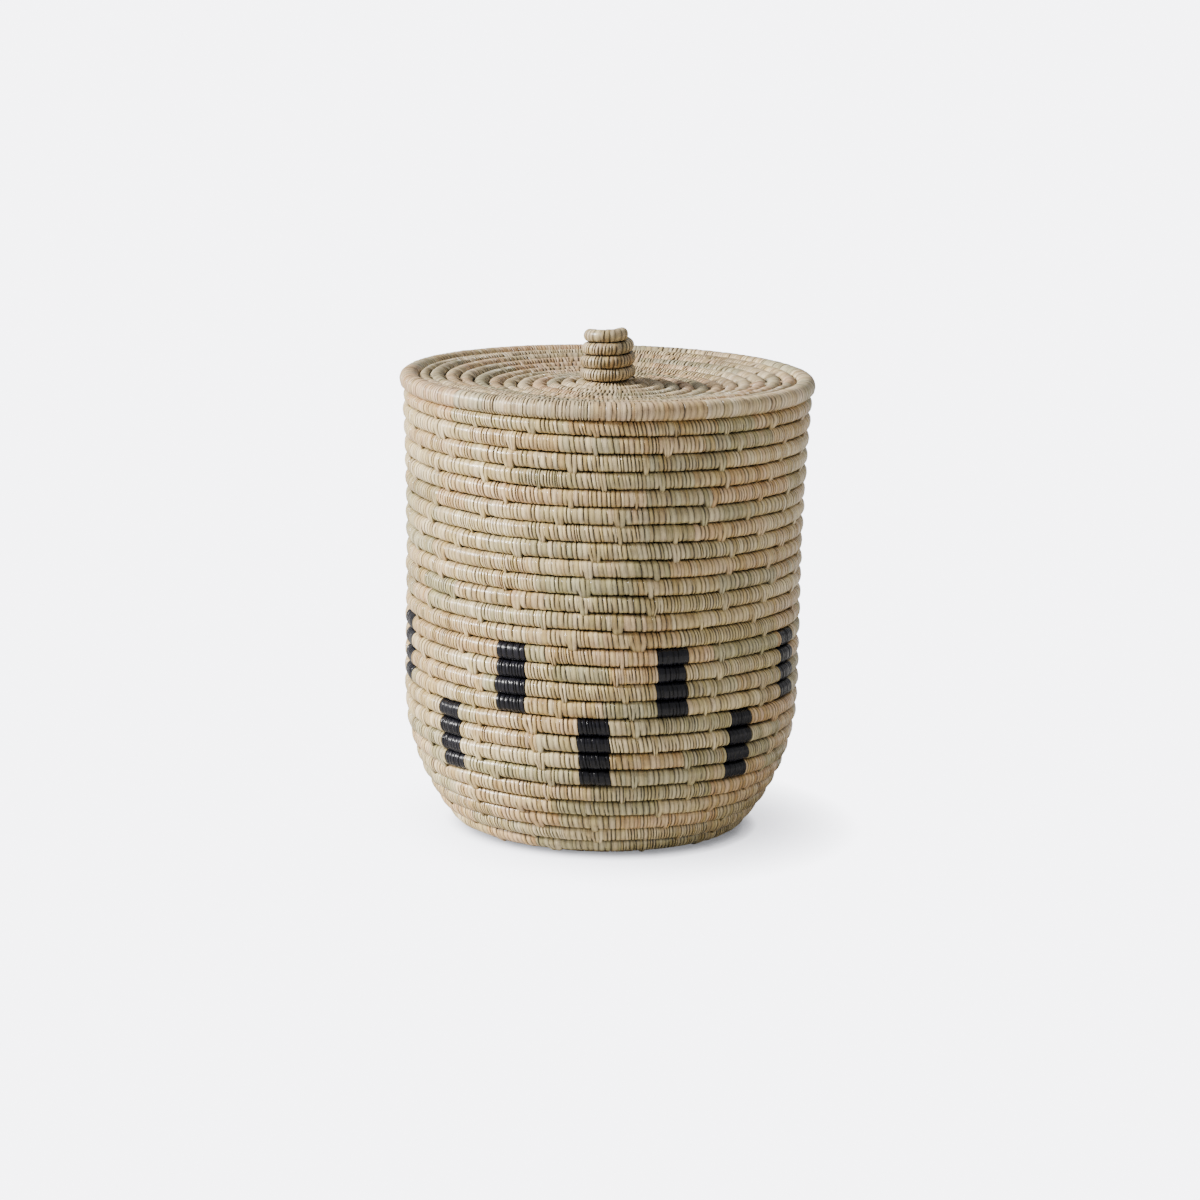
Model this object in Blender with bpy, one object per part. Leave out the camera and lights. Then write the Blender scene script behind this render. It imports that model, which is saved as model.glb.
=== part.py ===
"""A lidded coiled basket, in metres, +Z up, standing on its base with the origin at the base's centre.

Each part is a long bundle of grass wrapped in leaf strip and wound into rounds: outwards over the base and up
the wall to the mouth, and outwards over the lid to its rim. Dyed strip replaces the plain strip in short lengths
of the wall and makes two staggered bands of marks. The lid carries a knob wound as a small stack of rounds and,
underneath, one round that locates it in the mouth.
"""

import math

import bmesh
import bpy
import numpy as np
from mathutils import Matrix, Vector

# The basket's outside, from its base to its mouth
BASKET_HEIGHT = 0.3147
WALL_RADIUS = 0.1414
SHOULDER_RADIUS = 0.0206
SHOULDER_TURN_DEG = 51.2
SIDE_BEND_RADIUS = 0.154

# How far the wall has spread at the mouth, and the height that it starts to spread at
MOUTH_SPREAD = 0.0046
SPREAD_HEIGHT = 0.180

# The wrapped bundles, and the space left between rounds that are sewn together
ROUND_GAP = 0.0005
BASKET_COIL = 0.01185
LID_COIL = 0.0099
RIM_COIL = 0.0130
KNOB_COIL = 0.0087
LIP_COIL = 0.0090
START_COIL = 0.0050
START_TURNS = 0.6
THINNEST_COIL = 0.0012
SEAT_GAP = 0.0003

# How much of the climb from round to round is kept away from the front, from 0 to 1
LEVELLING = 0.8
# Where the last whole round ends, in turns past the front; the round over the front's mouth is a little thinner
LEVEL_FROM_TURN = 0.714

# The lid: how far it reaches past the mouth it rests on, and how far its disc stands above its lowest ring
LID_OVERHANG = 0.0017
LID_VALLEY_RADIUS = 0.068
LID_EDGE_RISE = 0.0075
LID_CENTRE_RISE = 0.0035
LIP_CLEARANCE = 0.0035
RIM_JOIN_DEG = 155.0
LIP_JOIN_DEG = -150.0

# The knob. Its top round ends this far past the front, and goes on as a thinner curl sunk inside that round
KNOB_RADIUS = 0.0200
KNOB_TOP_RADIUS = 0.0175
KNOB_TAPER_ROUNDS = 2
KNOB_ROUNDS = 4
KNOB_LEVELLING = 0.5
KNOB_END_TURN = -0.15
KNOB_CURL_TURNS = 0.8
KNOB_CURL_SINK = 0.0035

# The dyed marks: the rounds are counted down from the mouth, and the azimuths run to the right from the front
MARK_WIDTH = 0.0215
MARK_ROUNDS = 4
UPPER_FIRST_ROUND = 14
LOWER_FIRST_ROUND = 18
UPPER_AZIMUTHS_DEG = (-129.0, -77.5, -26.5, 20.5, 68.0, 121.0, 176.0)
LOWER_AZIMUTHS_DEG = (-157.0, -104.0, -49.0, -1.6, 44.5, 95.0, 149.0)
STRIP_THICKNESS = 0.0009
STITCH_WIDTH = 0.0050
STITCH_DEPTH = 0.0040

# How finely the solids are drawn: rounds smaller than the coarse radius have half the points
POINTS_PER_ROUND = 20
COARSE_RADIUS = 0.045
KNOB_POINTS_PER_ROUND = 14
WALL_SIDES = 6
BASE_SIDES = 8
LID_SIDES = 6
RING_SIDES = 8

KNOB_PITCH = KNOB_COIL + ROUND_GAP


def clear_scene():
    for obj in list(bpy.data.objects):
        bpy.data.objects.remove(obj)


def material(name, colour, roughness):
    made = bpy.data.materials.new(name)
    made.use_nodes = True
    shader = made.node_tree.nodes["Principled BSDF"]
    shader.inputs["Base Color"].default_value = (*colour, 1.0)
    shader.inputs["Roughness"].default_value = roughness
    shader.inputs["Metallic"].default_value = 0.0
    return made


class Section:
    """The line, in a section through the axis, that the middle of a wound bundle follows from round to round."""

    def __init__(self, points):
        self.points = np.array(points)
        steps = np.linalg.norm(np.diff(self.points, axis=0), axis=1)
        self.along = np.concatenate([[0.0], np.cumsum(steps)])
        self.length = self.along[-1]

    def place(self, distance):
        """Distance from the axis and height, at a distance along the line."""
        return tuple(float(np.interp(distance, self.along, self.points[:, k])) for k in (0, 1))

    def slope(self, distance):
        """The line's angle above the horizontal there."""
        reach = 0.001
        r0, z0 = self.place(max(distance - reach, 0.0))
        r1, z1 = self.place(min(distance + reach, self.length))
        return math.atan2(z1 - z0, r1 - r0)


def basket_section():
    """The base, the shoulder, the long bend of the side and the wall that spreads a little, up to the mouth."""
    half = BASKET_COIL / 2
    wall = WALL_RADIUS - half / math.cos(math.pi / WALL_SIDES)
    turn = math.radians(SHOULDER_TURN_DEG)
    tight, wide = SHOULDER_RADIUS - half, SIDE_BEND_RADIUS - half
    foot = wall - tight * math.sin(turn) - wide * (1.0 - math.sin(turn))
    points = [(0.0, half), (foot, half)]
    for angle in np.linspace(0.0, turn, 15)[1:]:
        points.append((foot + tight * math.sin(angle), half + tight * (1 - math.cos(angle))))
    r_turn, z_turn = points[-1]
    for angle in np.linspace(turn, math.pi / 2, 15)[1:]:
        across = wide * (math.sin(angle) - math.sin(turn))
        up = wide * (math.cos(turn) - math.cos(angle))
        points.append((r_turn + across, z_turn + up))
    for share in np.linspace(0.0, 1.0, 9):
        points.append((wall + MOUTH_SPREAD * share**2, SPREAD_HEIGHT + (BASKET_HEIGHT - SPREAD_HEIGHT) * share))
    return Section(points)


def eased(share):
    share = min(max(share, 0.0), 1.0)
    return share * share * (3.0 - 2.0 * share)


RIM_HEIGHT = BASKET_HEIGHT + SEAT_GAP + RIM_COIL / 2
LID_RADIUS = WALL_RADIUS + MOUTH_SPREAD + LID_OVERHANG
RIM_MIDDLE_RADIUS = LID_RADIUS - RIM_COIL / 2 / math.cos(math.pi / RING_SIDES)
DISC_RADIUS = RIM_MIDDLE_RADIUS - RIM_COIL / 2 - ROUND_GAP


def disc_height(radius):
    """The height of the middle of the lid's disc: a shallow dish with a raised centre."""
    valley = RIM_HEIGHT - LID_EDGE_RISE
    if radius > LID_VALLEY_RADIUS:
        return valley + LID_EDGE_RISE * eased((radius - LID_VALLEY_RADIUS) / (DISC_RADIUS - LID_VALLEY_RADIUS))
    return valley + LID_CENTRE_RISE * eased(1.0 - radius / LID_VALLEY_RADIUS)


def lid_section():
    return Section([(radius, disc_height(radius)) for radius in np.linspace(0.0, DISC_RADIUS, 120)])


def grid_turns(first, last):
    """The turns between two others at which every bundle has corners, so that neighbours' facets line up."""
    near = 0.05 / POINTS_PER_ROUND
    low = math.ceil((first + near) * POINTS_PER_ROUND)
    high = math.ceil((last - near) * POINTS_PER_ROUND)
    return [count / POINTS_PER_ROUND for count in range(low, high)]


class Winding:
    """A bundle wound round the axis along a section, one pitch further out with each turn.

    Turns are counted so that a whole number is at the front, and they run clockwise as seen from above. The last
    round thins out under the section's end, so that the edge it makes is level; top is its turn at the front.
    """

    def __init__(self, section, thickness):
        self.section = section
        self.half = thickness / 2
        self.pitch = thickness + ROUND_GAP
        edge = section.length - self.half
        self.rounds = math.floor(edge / self.pitch - self.climbed(LEVEL_FROM_TURN))
        self.offset = edge - self.pitch * (self.rounds + self.climbed(LEVEL_FROM_TURN))
        self.top = round(self.rounds + LEVEL_FROM_TURN)

    @staticmethod
    def climbed(turn):
        return turn - LEVELLING * math.sin(2 * math.pi * turn) / (2 * math.pi)

    def bundle(self, turn):
        """Where the bundle's middle is along the section, and its half thickness."""
        plain = self.pitch * self.climbed(turn) + self.offset
        if plain + self.half <= self.section.length + 1e-9:
            begun = eased((turn - self.first_turn()) / START_TURNS)
            return plain, START_COIL / 2 + (self.half - START_COIL / 2) * begun
        below = plain - self.pitch + self.half + ROUND_GAP
        half = (self.section.length - below) / 2
        return below + half, half

    def first_turn(self):
        """The turn at which the bundle is just clear of the axis."""
        turn = -1.0
        while self.pitch * self.climbed(turn) + self.offset < START_COIL / 2 + ROUND_GAP:
            turn += 0.01
        return turn

    def last_turn(self):
        """The last turn with corners in line with the neighbours' at which the thinned end is thick enough."""
        count = math.ceil((self.rounds + LEVEL_FROM_TURN) * POINTS_PER_ROUND)
        while 2 * self.bundle((count + 1) / POINTS_PER_ROUND)[1] > THINNEST_COIL:
            count += 1
        return count / POINTS_PER_ROUND

    def turn_at(self, distance):
        """The turn that reaches a distance along the section."""
        turn = self.first_turn()
        while self.pitch * self.climbed(turn) + self.offset < distance:
            turn += 0.01
        return turn

    def ring(self, turn, sides, inset=0.0):
        """The middle and the corners of the bundle's cross-section, with flats towards its neighbours.

        Where the section bends, neighbours lean towards each other, and the bundle is drawn in to clear them.
        """
        distance, half = self.bundle(turn)
        radius, height = self.section.place(distance)
        slope = self.section.slope(distance)
        reach = self.pitch / 2
        lean = abs(self.section.slope(distance + reach) - self.section.slope(distance - reach)) / 2
        chord = math.sin(lean) / lean if lean else 1.0
        half = half - reach + reach * chord
        half = half / (math.cos(lean) + math.tan(math.pi / sides) * math.sin(lean)) - inset
        azimuth = -2 * math.pi * turn
        outward = Vector((math.sin(azimuth), -math.cos(azimuth), 0.0))
        up = Vector((0.0, 0.0, 1.0))
        onward = outward * math.cos(slope) + up * math.sin(slope)
        face = outward * math.sin(slope) - up * math.cos(slope)
        middle = outward * radius + up * height
        corner = half / math.cos(math.pi / sides)
        start = math.pi / sides if sides % 4 == 0 else 0.0
        angles = [start + 2 * math.pi * k / sides for k in range(sides)]
        return middle, [middle + (face * math.cos(a) + onward * math.sin(a)) * corner for a in angles]

    def turns_between(self, first, last, breaks=()):
        """Turns at which to draw the bundle, in line from round to round, and none inside or close to a break."""
        near = 0.3 / POINTS_PER_ROUND
        turns = []
        for turn in grid_turns(first, last):
            coarse = self.section.place(self.bundle(turn)[0])[0] < COARSE_RADIUS
            in_break = any(start - near < turn < end + near for start, end in breaks)
            if not in_break and not (coarse and round(turn * POINTS_PER_ROUND) % 2):
                turns.append(turn)
        return [first, *turns, last]


def tube_mesh(name, rings, closed_ends=True):
    """A closed tube through rings of corners that run round it the same way."""
    shape = bmesh.new()
    corners = [[shape.verts.new(point) for point in ring] for ring in rings]
    sides = len(corners[0])
    pairs = list(zip(corners, corners[1:]))
    if not closed_ends:
        pairs.append((corners[-1], corners[0]))
    for before, after in pairs:
        for k in range(sides):
            after_k = (k + 1) % sides
            shape.faces.new((before[k], before[after_k], after[after_k], after[k]))
    if closed_ends:
        shape.faces.new(corners[0][::-1])
        shape.faces.new(corners[-1])
    bmesh.ops.recalc_face_normals(shape, faces=shape.faces)
    mesh = bpy.data.meshes.new(name)
    shape.to_mesh(mesh)
    shape.free()
    return mesh


def add_piece(name, mesh, look, parent):
    piece = bpy.data.objects.new(name, mesh)
    piece.data.materials.append(look)
    piece.parent = parent
    bpy.context.scene.collection.objects.link(piece)
    return piece


def report_gap(name, rings):
    """Prints the least gap between rounds of one bundle, measured between points along it."""
    middles = np.array([middle for middle, _ in rings])
    reach = np.array([max((c - m).length for c in corners) for m, corners in rings])
    least = 1.0
    for i, middle in enumerate(middles):
        later = np.arange(i + POINTS_PER_ROUND // 4, len(middles))
        if len(later):
            apart = np.linalg.norm(middles[later] - middle, axis=1)
            flat = math.cos(math.pi / len(rings[0][1]))
            least = min(least, float((apart - (reach[later] + reach[i]) * flat).min()))
    print(f"{name}: the least gap to itself is {1000 * least:.2f} mm over {len(rings)} rings")


def add_winding(name, winding, first, last, sides, look, parent, marks=()):
    """A stretch of a winding, with a neck wherever a dyed mark takes the place of the plain strip."""
    neck = STRIP_THICKNESS + SEAT_GAP
    stops = [(turn, 0.0) for turn in winding.turns_between(first, last, marks)]
    for start, end in marks:
        stops += [(start, 0.0), (start, neck), (end, neck), (end, 0.0)]
    order = sorted(range(len(stops)), key=lambda k: (stops[k][0], k))
    rings = [winding.ring(stops[k][0], sides, stops[k][1]) for k in order]
    report_gap(name, [winding.ring(stops[k][0], sides) for k in order])
    return add_piece(name, tube_mesh(name, [corners for _, corners in rings]), look, parent)


def mark_spans(winding, azimuths_deg, first_round):
    """For each mark, the turns at which it starts and ends on each of its rounds."""
    radius = WALL_RADIUS - BASKET_COIL / 2
    width = MARK_WIDTH / (2 * math.pi * radius)
    marks = []
    for azimuth in azimuths_deg:
        turns = [winding.top + 1 - first_round - k - azimuth / 360.0 for k in range(MARK_ROUNDS)]
        marks.append([(turn - width / 2, turn + width / 2) for turn in turns])
    return marks


def add_mark(name, winding, spans, look, parent):
    """One mark: a sleeve of dyed strip on each of its rounds, sewn to the sleeve below by a stitch."""
    gap = SEAT_GAP / (2 * math.pi * WALL_RADIUS)
    shape = bmesh.new()
    middles = []
    for start, end in spans:
        ends = [winding.ring(turn, WALL_SIDES) for turn in (start + gap, end - gap)]
        bores = [winding.ring(turn, WALL_SIDES, STRIP_THICKNESS)[1] for turn in (start + gap, end - gap)]
        loops = [ends[0][1], ends[1][1], bores[1], bores[0]]
        sleeve = tube_mesh(name + "_sleeve", loops, closed_ends=False)
        shape.from_mesh(sleeve)
        bpy.data.meshes.remove(sleeve)
        middles.append((ends[0][0] + ends[1][0]) / 2)
    mesh = bpy.data.meshes.new(name)
    shape.to_mesh(mesh)
    shape.free()
    mark = add_piece(name, mesh, look, parent)
    stitches = add_stitches(name, winding, spans, middles, parent)
    union = mark.modifiers.new("sewn", "BOOLEAN")
    union.operation = "UNION"
    union.object = stitches
    return mark


def add_stitches(name, winding, spans, middles, parent):
    """The stitches of one mark, kept as a hidden helper that the mark is joined with."""
    shape = bmesh.new()
    height = ROUND_GAP + STRIP_THICKNESS
    for (start, end), upper, lower in zip(spans, middles, middles[1:]):
        azimuth = -math.pi * (start + end)
        along = Vector((math.cos(azimuth), math.sin(azimuth), 0.0))
        rise = (upper - lower).normalized()
        depth = along.cross(rise)
        place = (upper + lower) / 2
        turned = Matrix((along, depth, rise)).transposed().to_4x4()
        size = Matrix.Diagonal((STITCH_WIDTH, STITCH_DEPTH, height, 1.0))
        bmesh.ops.create_cube(shape, size=1.0, matrix=Matrix.Translation(place) @ turned @ size)
    bmesh.ops.recalc_face_normals(shape, faces=shape.faces)
    mesh = bpy.data.meshes.new(name + "_stitches")
    shape.to_mesh(mesh)
    shape.free()
    helper = bpy.data.objects.new(name + "_stitches", mesh)
    helper.parent = parent
    helper.hide_render = True
    helper.display_type = "WIRE"
    bpy.context.scene.collection.objects.link(helper)
    return helper


def single_round(radius, height, half, join_deg):
    """Rings for a single round of bundle, whose two ends meet with a small gap."""
    gap = SEAT_GAP / (2 * math.pi * radius)
    first = join_deg / 360.0 + gap / 2
    last = first + 1.0 - gap
    rings = []
    for turn in [first, *grid_turns(first, last), last]:
        azimuth = 2 * math.pi * turn
        outward = Vector((math.sin(azimuth), -math.cos(azimuth), 0.0))
        middle = outward * radius + Vector((0.0, 0.0, height))
        corner = half / math.cos(math.pi / RING_SIDES)
        angles = [math.pi / RING_SIDES + 2 * math.pi * k / RING_SIDES for k in range(RING_SIDES)]
        up = Vector((0.0, 0.0, 1.0))
        rings.append([middle + (outward * math.cos(a) + up * math.sin(a)) * corner for a in angles])
    return rings


def knob_climbed(turn):
    """How many pitches down the knob's bundle is after a number of turns past the front."""
    return turn - KNOB_LEVELLING * math.sin(2 * math.pi * turn) / (2 * math.pi)


def knob_rings():
    """Rings down the knob: a thin curl inside the top round, whole rounds, and a thinned end on the disc."""
    half = KNOB_COIL / 2
    seat = disc_height(0.0) + LID_COIL / 2 / math.cos(math.pi / LID_SIDES) + SEAT_GAP
    reach = half / math.cos(math.pi / RING_SIDES)
    first, last = KNOB_END_TURN - KNOB_CURL_TURNS, float(KNOB_ROUNDS - 1)
    while KNOB_PITCH * (KNOB_ROUNDS - knob_climbed(last)) - ROUND_GAP > THINNEST_COIL:
        last += 0.01
    rings = []
    for turn in np.linspace(first, last, round((last - first) * KNOB_POINTS_PER_ROUND) + 1):
        down = knob_climbed(max(turn, KNOB_END_TURN))
        share = min(1.0, max(0.0, down) / KNOB_TAPER_ROUNDS)
        radius = KNOB_TOP_RADIUS + (KNOB_RADIUS - KNOB_TOP_RADIUS) * share - reach
        height = seat + half + KNOB_PITCH * (KNOB_ROUNDS - 1 - down)
        size = half
        if turn < KNOB_END_TURN:
            size = START_COIL / 2 + (half - START_COIL / 2) * (turn - first) / KNOB_CURL_TURNS
            sunk = KNOB_CURL_SINK * eased((KNOB_END_TURN - turn) / 0.4)
            above = KNOB_PITCH * (1.0 + knob_climbed(turn) - knob_climbed(KNOB_END_TURN)) - sunk
            radius -= math.sqrt(max(0.0, (size + half + ROUND_GAP) ** 2 - above**2))
            height -= sunk
        elif down > KNOB_ROUNDS - 1:
            size = (KNOB_PITCH * (KNOB_ROUNDS - down) - ROUND_GAP) / 2
            height = seat + size
            radius += half - size
        azimuth = -2 * math.pi * turn
        outward = Vector((math.sin(azimuth), -math.cos(azimuth), 0.0))
        up = Vector((0.0, 0.0, 1.0))
        middle = outward * radius + up * height
        corner = size / math.cos(math.pi / RING_SIDES)
        angles = [math.pi / RING_SIDES + 2 * math.pi * k / RING_SIDES for k in range(RING_SIDES)]
        corners = [middle + (outward * math.cos(a) + up * math.sin(a)) * corner for a in angles]
        rings.append((middle, corners))
    return rings


def build_basket(plain, dyed):
    basket = bpy.data.objects.new("basket", None)
    bpy.context.scene.collection.objects.link(basket)
    winding = Winding(basket_section(), BASKET_COIL)
    shoulder_round = winding.top + 1 - LOWER_FIRST_ROUND - MARK_ROUNDS
    splice = shoulder_round + 0.5
    gap = SEAT_GAP / (2 * math.pi * WALL_RADIUS)
    upper = mark_spans(winding, UPPER_AZIMUTHS_DEG, UPPER_FIRST_ROUND)
    lower = mark_spans(winding, LOWER_AZIMUTHS_DEG, LOWER_FIRST_ROUND)
    marks = [span for mark in upper + lower for span in mark]
    first, last = winding.first_turn(), winding.last_turn()
    add_winding("base_coil", winding, first, splice - gap, BASE_SIDES, plain, basket)
    add_winding("wall_coil", winding, splice + gap, last, WALL_SIDES, plain, basket, marks)
    for band, spans_of_band in (("upper", upper), ("lower", lower)):
        for number, spans in enumerate(spans_of_band, start=1):
            add_mark(f"{band}_dyed_mark_{number}", winding, spans, dyed, basket)


def build_lid(plain):
    lid = bpy.data.objects.new("lid", None)
    bpy.context.scene.collection.objects.link(lid)
    winding = Winding(lid_section(), LID_COIL)
    add_winding("lid_disc_coil", winding, winding.first_turn(), winding.last_turn(), LID_SIDES, plain, lid)
    rim = single_round(RIM_MIDDLE_RADIUS, RIM_HEIGHT, RIM_COIL / 2, RIM_JOIN_DEG)
    add_piece("lid_rim_coil", tube_mesh("lid_rim_coil", rim), plain, lid)
    mouth = WALL_RADIUS + MOUTH_SPREAD - BASKET_COIL / math.cos(math.pi / WALL_SIDES)
    lip_radius = mouth - LIP_CLEARANCE - LIP_COIL / 2 / math.cos(math.pi / RING_SIDES)
    lip_flat = LIP_COIL / 2 * math.tan(math.pi / RING_SIDES)
    under = min(disc_height(lip_radius + reach) for reach in (-lip_flat, 0.0, lip_flat))
    lip_height = under - LID_COIL / 2 / math.cos(math.pi / LID_SIDES) - SEAT_GAP - LIP_COIL / 2
    lip = single_round(lip_radius, lip_height, LIP_COIL / 2, LIP_JOIN_DEG)
    add_piece("lid_lip_coil", tube_mesh("lid_lip_coil", lip), plain, lid)
    knob = knob_rings()
    report_gap("knob_coil", knob)
    add_piece("knob_coil", tube_mesh("knob_coil", [corners for _, corners in knob]), plain, lid)


def main():
    clear_scene()
    plain = material("leaf_strip", (0.52, 0.43, 0.30), 0.62)
    dyed = material("dyed_strip", (0.018, 0.018, 0.024), 0.38)
    build_basket(plain, dyed)
    build_lid(plain)


main()
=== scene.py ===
"""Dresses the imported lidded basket: the leaf strip wrapped on its coils, the dyed marks, light and camera."""

import logging
import math
from dataclasses import dataclass, field
from enum import Enum, IntEnum

import bpy
import numpy as np
from mathutils import Matrix, Vector


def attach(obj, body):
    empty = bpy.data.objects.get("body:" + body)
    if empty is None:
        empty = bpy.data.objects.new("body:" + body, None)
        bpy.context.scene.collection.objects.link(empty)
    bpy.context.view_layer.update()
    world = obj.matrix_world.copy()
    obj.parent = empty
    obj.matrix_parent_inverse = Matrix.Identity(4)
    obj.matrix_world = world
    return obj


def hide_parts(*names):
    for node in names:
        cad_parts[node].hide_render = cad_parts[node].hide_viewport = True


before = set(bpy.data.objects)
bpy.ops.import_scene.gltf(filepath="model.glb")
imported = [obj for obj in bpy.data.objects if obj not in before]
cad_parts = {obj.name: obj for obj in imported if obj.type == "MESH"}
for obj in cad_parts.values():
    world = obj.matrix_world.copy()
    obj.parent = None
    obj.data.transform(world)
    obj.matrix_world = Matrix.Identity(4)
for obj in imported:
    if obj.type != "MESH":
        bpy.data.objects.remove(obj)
LOG = logging.getLogger("basket")

TAU = 2 * math.pi
UP = np.array([0.0, 0.0, 1.0])
Tones = tuple[tuple[float, tuple], ...]

# The wraps that one piece may have and still be exported whole.
MOST_WRAPS = 1150

# The directions round a wrapped bundle, in degrees, that its cross-section has corners in. 0 looks out of the
# basket's wall or up out of the lid, and -90 looks towards the round before.
CORNERS_DEG = (-90, -80, -68, -53, -36, -18, 0, 18, 36, 53, 68, 80, 90, 118, 155, 205, 242)

# The slow straying of a bundle from its even place: its waves a turn, their strength, and how far they turn
# from round to round, in radians a metre.
STRAY_CYCLES = (2, 3, 5, 7, 11)
STRAY_STRENGTH = 0.5625
STRAY_TWIST = (20, 60)

# Where, from side to side of a bundle, the painted shade between two rounds begins, and how soon it is full.
SHADE_BETWEEN_FROM, SHADE_BETWEEN_EASE = 0.88, 0.09

# The share of a band that a stretch fills on a piece's baked map, along and across, and its margin.
BAND_LENGTH, BAND_WIDTH, BAND_MARGIN = 0.96, 0.94, 0.02


class Part(Enum):
    """The two bodies that come apart."""

    BASKET = "basket"
    LID = "lid"


class Draw(IntEnum):
    """The random draw that each thing has."""

    MARK_EDGES = 3
    BASKET_STRIPS = 5
    DISC_STRIPS = 6
    RIM_STRIPS = 7
    LIP_STRIPS = 8
    KNOB_STRIPS = 9
    KNOB_CORE = 10
    BASKET_SWAY = 11
    KNOB_CURL_CORE = 12
    LID_CENTRE = 13
    BASE_CENTRE = 14
    DISC_SWAY = 31


def eased(share: np.ndarray) -> np.ndarray:
    """Returns a share from 0 to 1 with a soft start and a soft end."""
    share = np.clip(share, 0.0, 1.0)
    return share * share * (3.0 - 2.0 * share)


def outward_at(azimuth: np.ndarray) -> np.ndarray:
    """Returns the directions away from the axis at azimuths, which grow to the right from the front."""
    return np.stack([np.sin(azimuth), -np.cos(azimuth), 0 * azimuth], axis=1)


def clockwise_at(azimuth: np.ndarray) -> np.ndarray:
    """Returns the directions round the axis at azimuths, clockwise as seen from above."""
    return np.stack([-np.cos(azimuth), -np.sin(azimuth), 0 * azimuth], axis=1)


def unit(values: np.ndarray) -> np.ndarray:
    """Returns directions with a length of one."""
    return values / np.linalg.norm(values, axis=-1, keepdims=True)


def portions(first: int, last: int) -> list[tuple[int, int]]:
    """Returns the wrap edges from one to another, in portions that one piece can have."""
    count = math.ceil((last - first) / MOST_WRAPS)
    bounds = [round(first + (last - first) * share / count) for share in range(count + 1)]
    return list(zip(bounds, bounds[1:]))


@dataclass
class Run:
    """Samples of the line that a bundle follows, with its directions and its half sizes.

    Attributes:
        centre: The bundle's middle, one row a sample.
        face: Towards the side that is looked at.
        onward: Towards the next round.
        along: The way the bundle runs.
        deep: Half its size along face.
        tall: Half its size along onward.
        open_before: 1 where no round lies before it, otherwise 0.
        open_after: 1 where no round lies after it, otherwise 0.
    """

    centre: np.ndarray
    face: np.ndarray
    onward: np.ndarray
    along: np.ndarray
    deep: np.ndarray
    tall: np.ndarray
    open_before: np.ndarray
    open_after: np.ndarray
    distance: np.ndarray = field(init=False)

    def __post_init__(self) -> None:
        """Works out how far along the bundle each sample is."""
        steps = np.linalg.norm(np.diff(self.centre, axis=0), axis=1)
        self.distance = np.concatenate([[0.0], np.cumsum(steps)])

    def at(self, distance: np.ndarray) -> "Run":
        """Returns the run sampled at other distances.

        Args:
            distance: Distances along the bundle, in metres.

        Returns:
            A run with one sample for each.
        """
        def read(values: np.ndarray) -> np.ndarray:
            """Returns values, one row a sample, at the distances."""
            columns = values.reshape(len(values), -1).T
            return np.stack([np.interp(distance, self.distance, c) for c in columns], axis=-1)

        lines = (read(self.centre), unit(read(self.face)), unit(read(self.onward)), unit(read(self.along)))
        sizes = (read(v)[:, 0] for v in (self.deep, self.tall, self.open_before, self.open_after))
        return Run(*lines, *sizes)


@dataclass
class Section:
    """The line, in a section through the axis, that a wound bundle's middle follows from round to round."""

    points: np.ndarray
    along: np.ndarray = field(init=False)

    def __post_init__(self) -> None:
        """Works out how far along the line each point is."""
        steps = np.linalg.norm(np.diff(self.points, axis=0), axis=1)
        self.along = np.concatenate([[0.0], np.cumsum(steps)])

    @property
    def length(self) -> float:
        """The line's whole length."""
        return float(self.along[-1])

    def place(self, distance: np.ndarray) -> tuple[np.ndarray, np.ndarray]:
        """Returns the distance from the axis and the height at distances along the line."""
        radius, height = (np.interp(distance, self.along, self.points[:, k]) for k in (0, 1))
        return radius, height

    def slope(self, distance: np.ndarray) -> np.ndarray:
        """Returns the line's angle above the horizontal at distances along it."""
        reach = 0.001
        r0, z0 = self.place(np.maximum(distance - reach, 0.0))
        r1, z1 = self.place(np.minimum(distance + reach, self.length))
        return np.arctan2(z1 - z0, r1 - r0)


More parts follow.
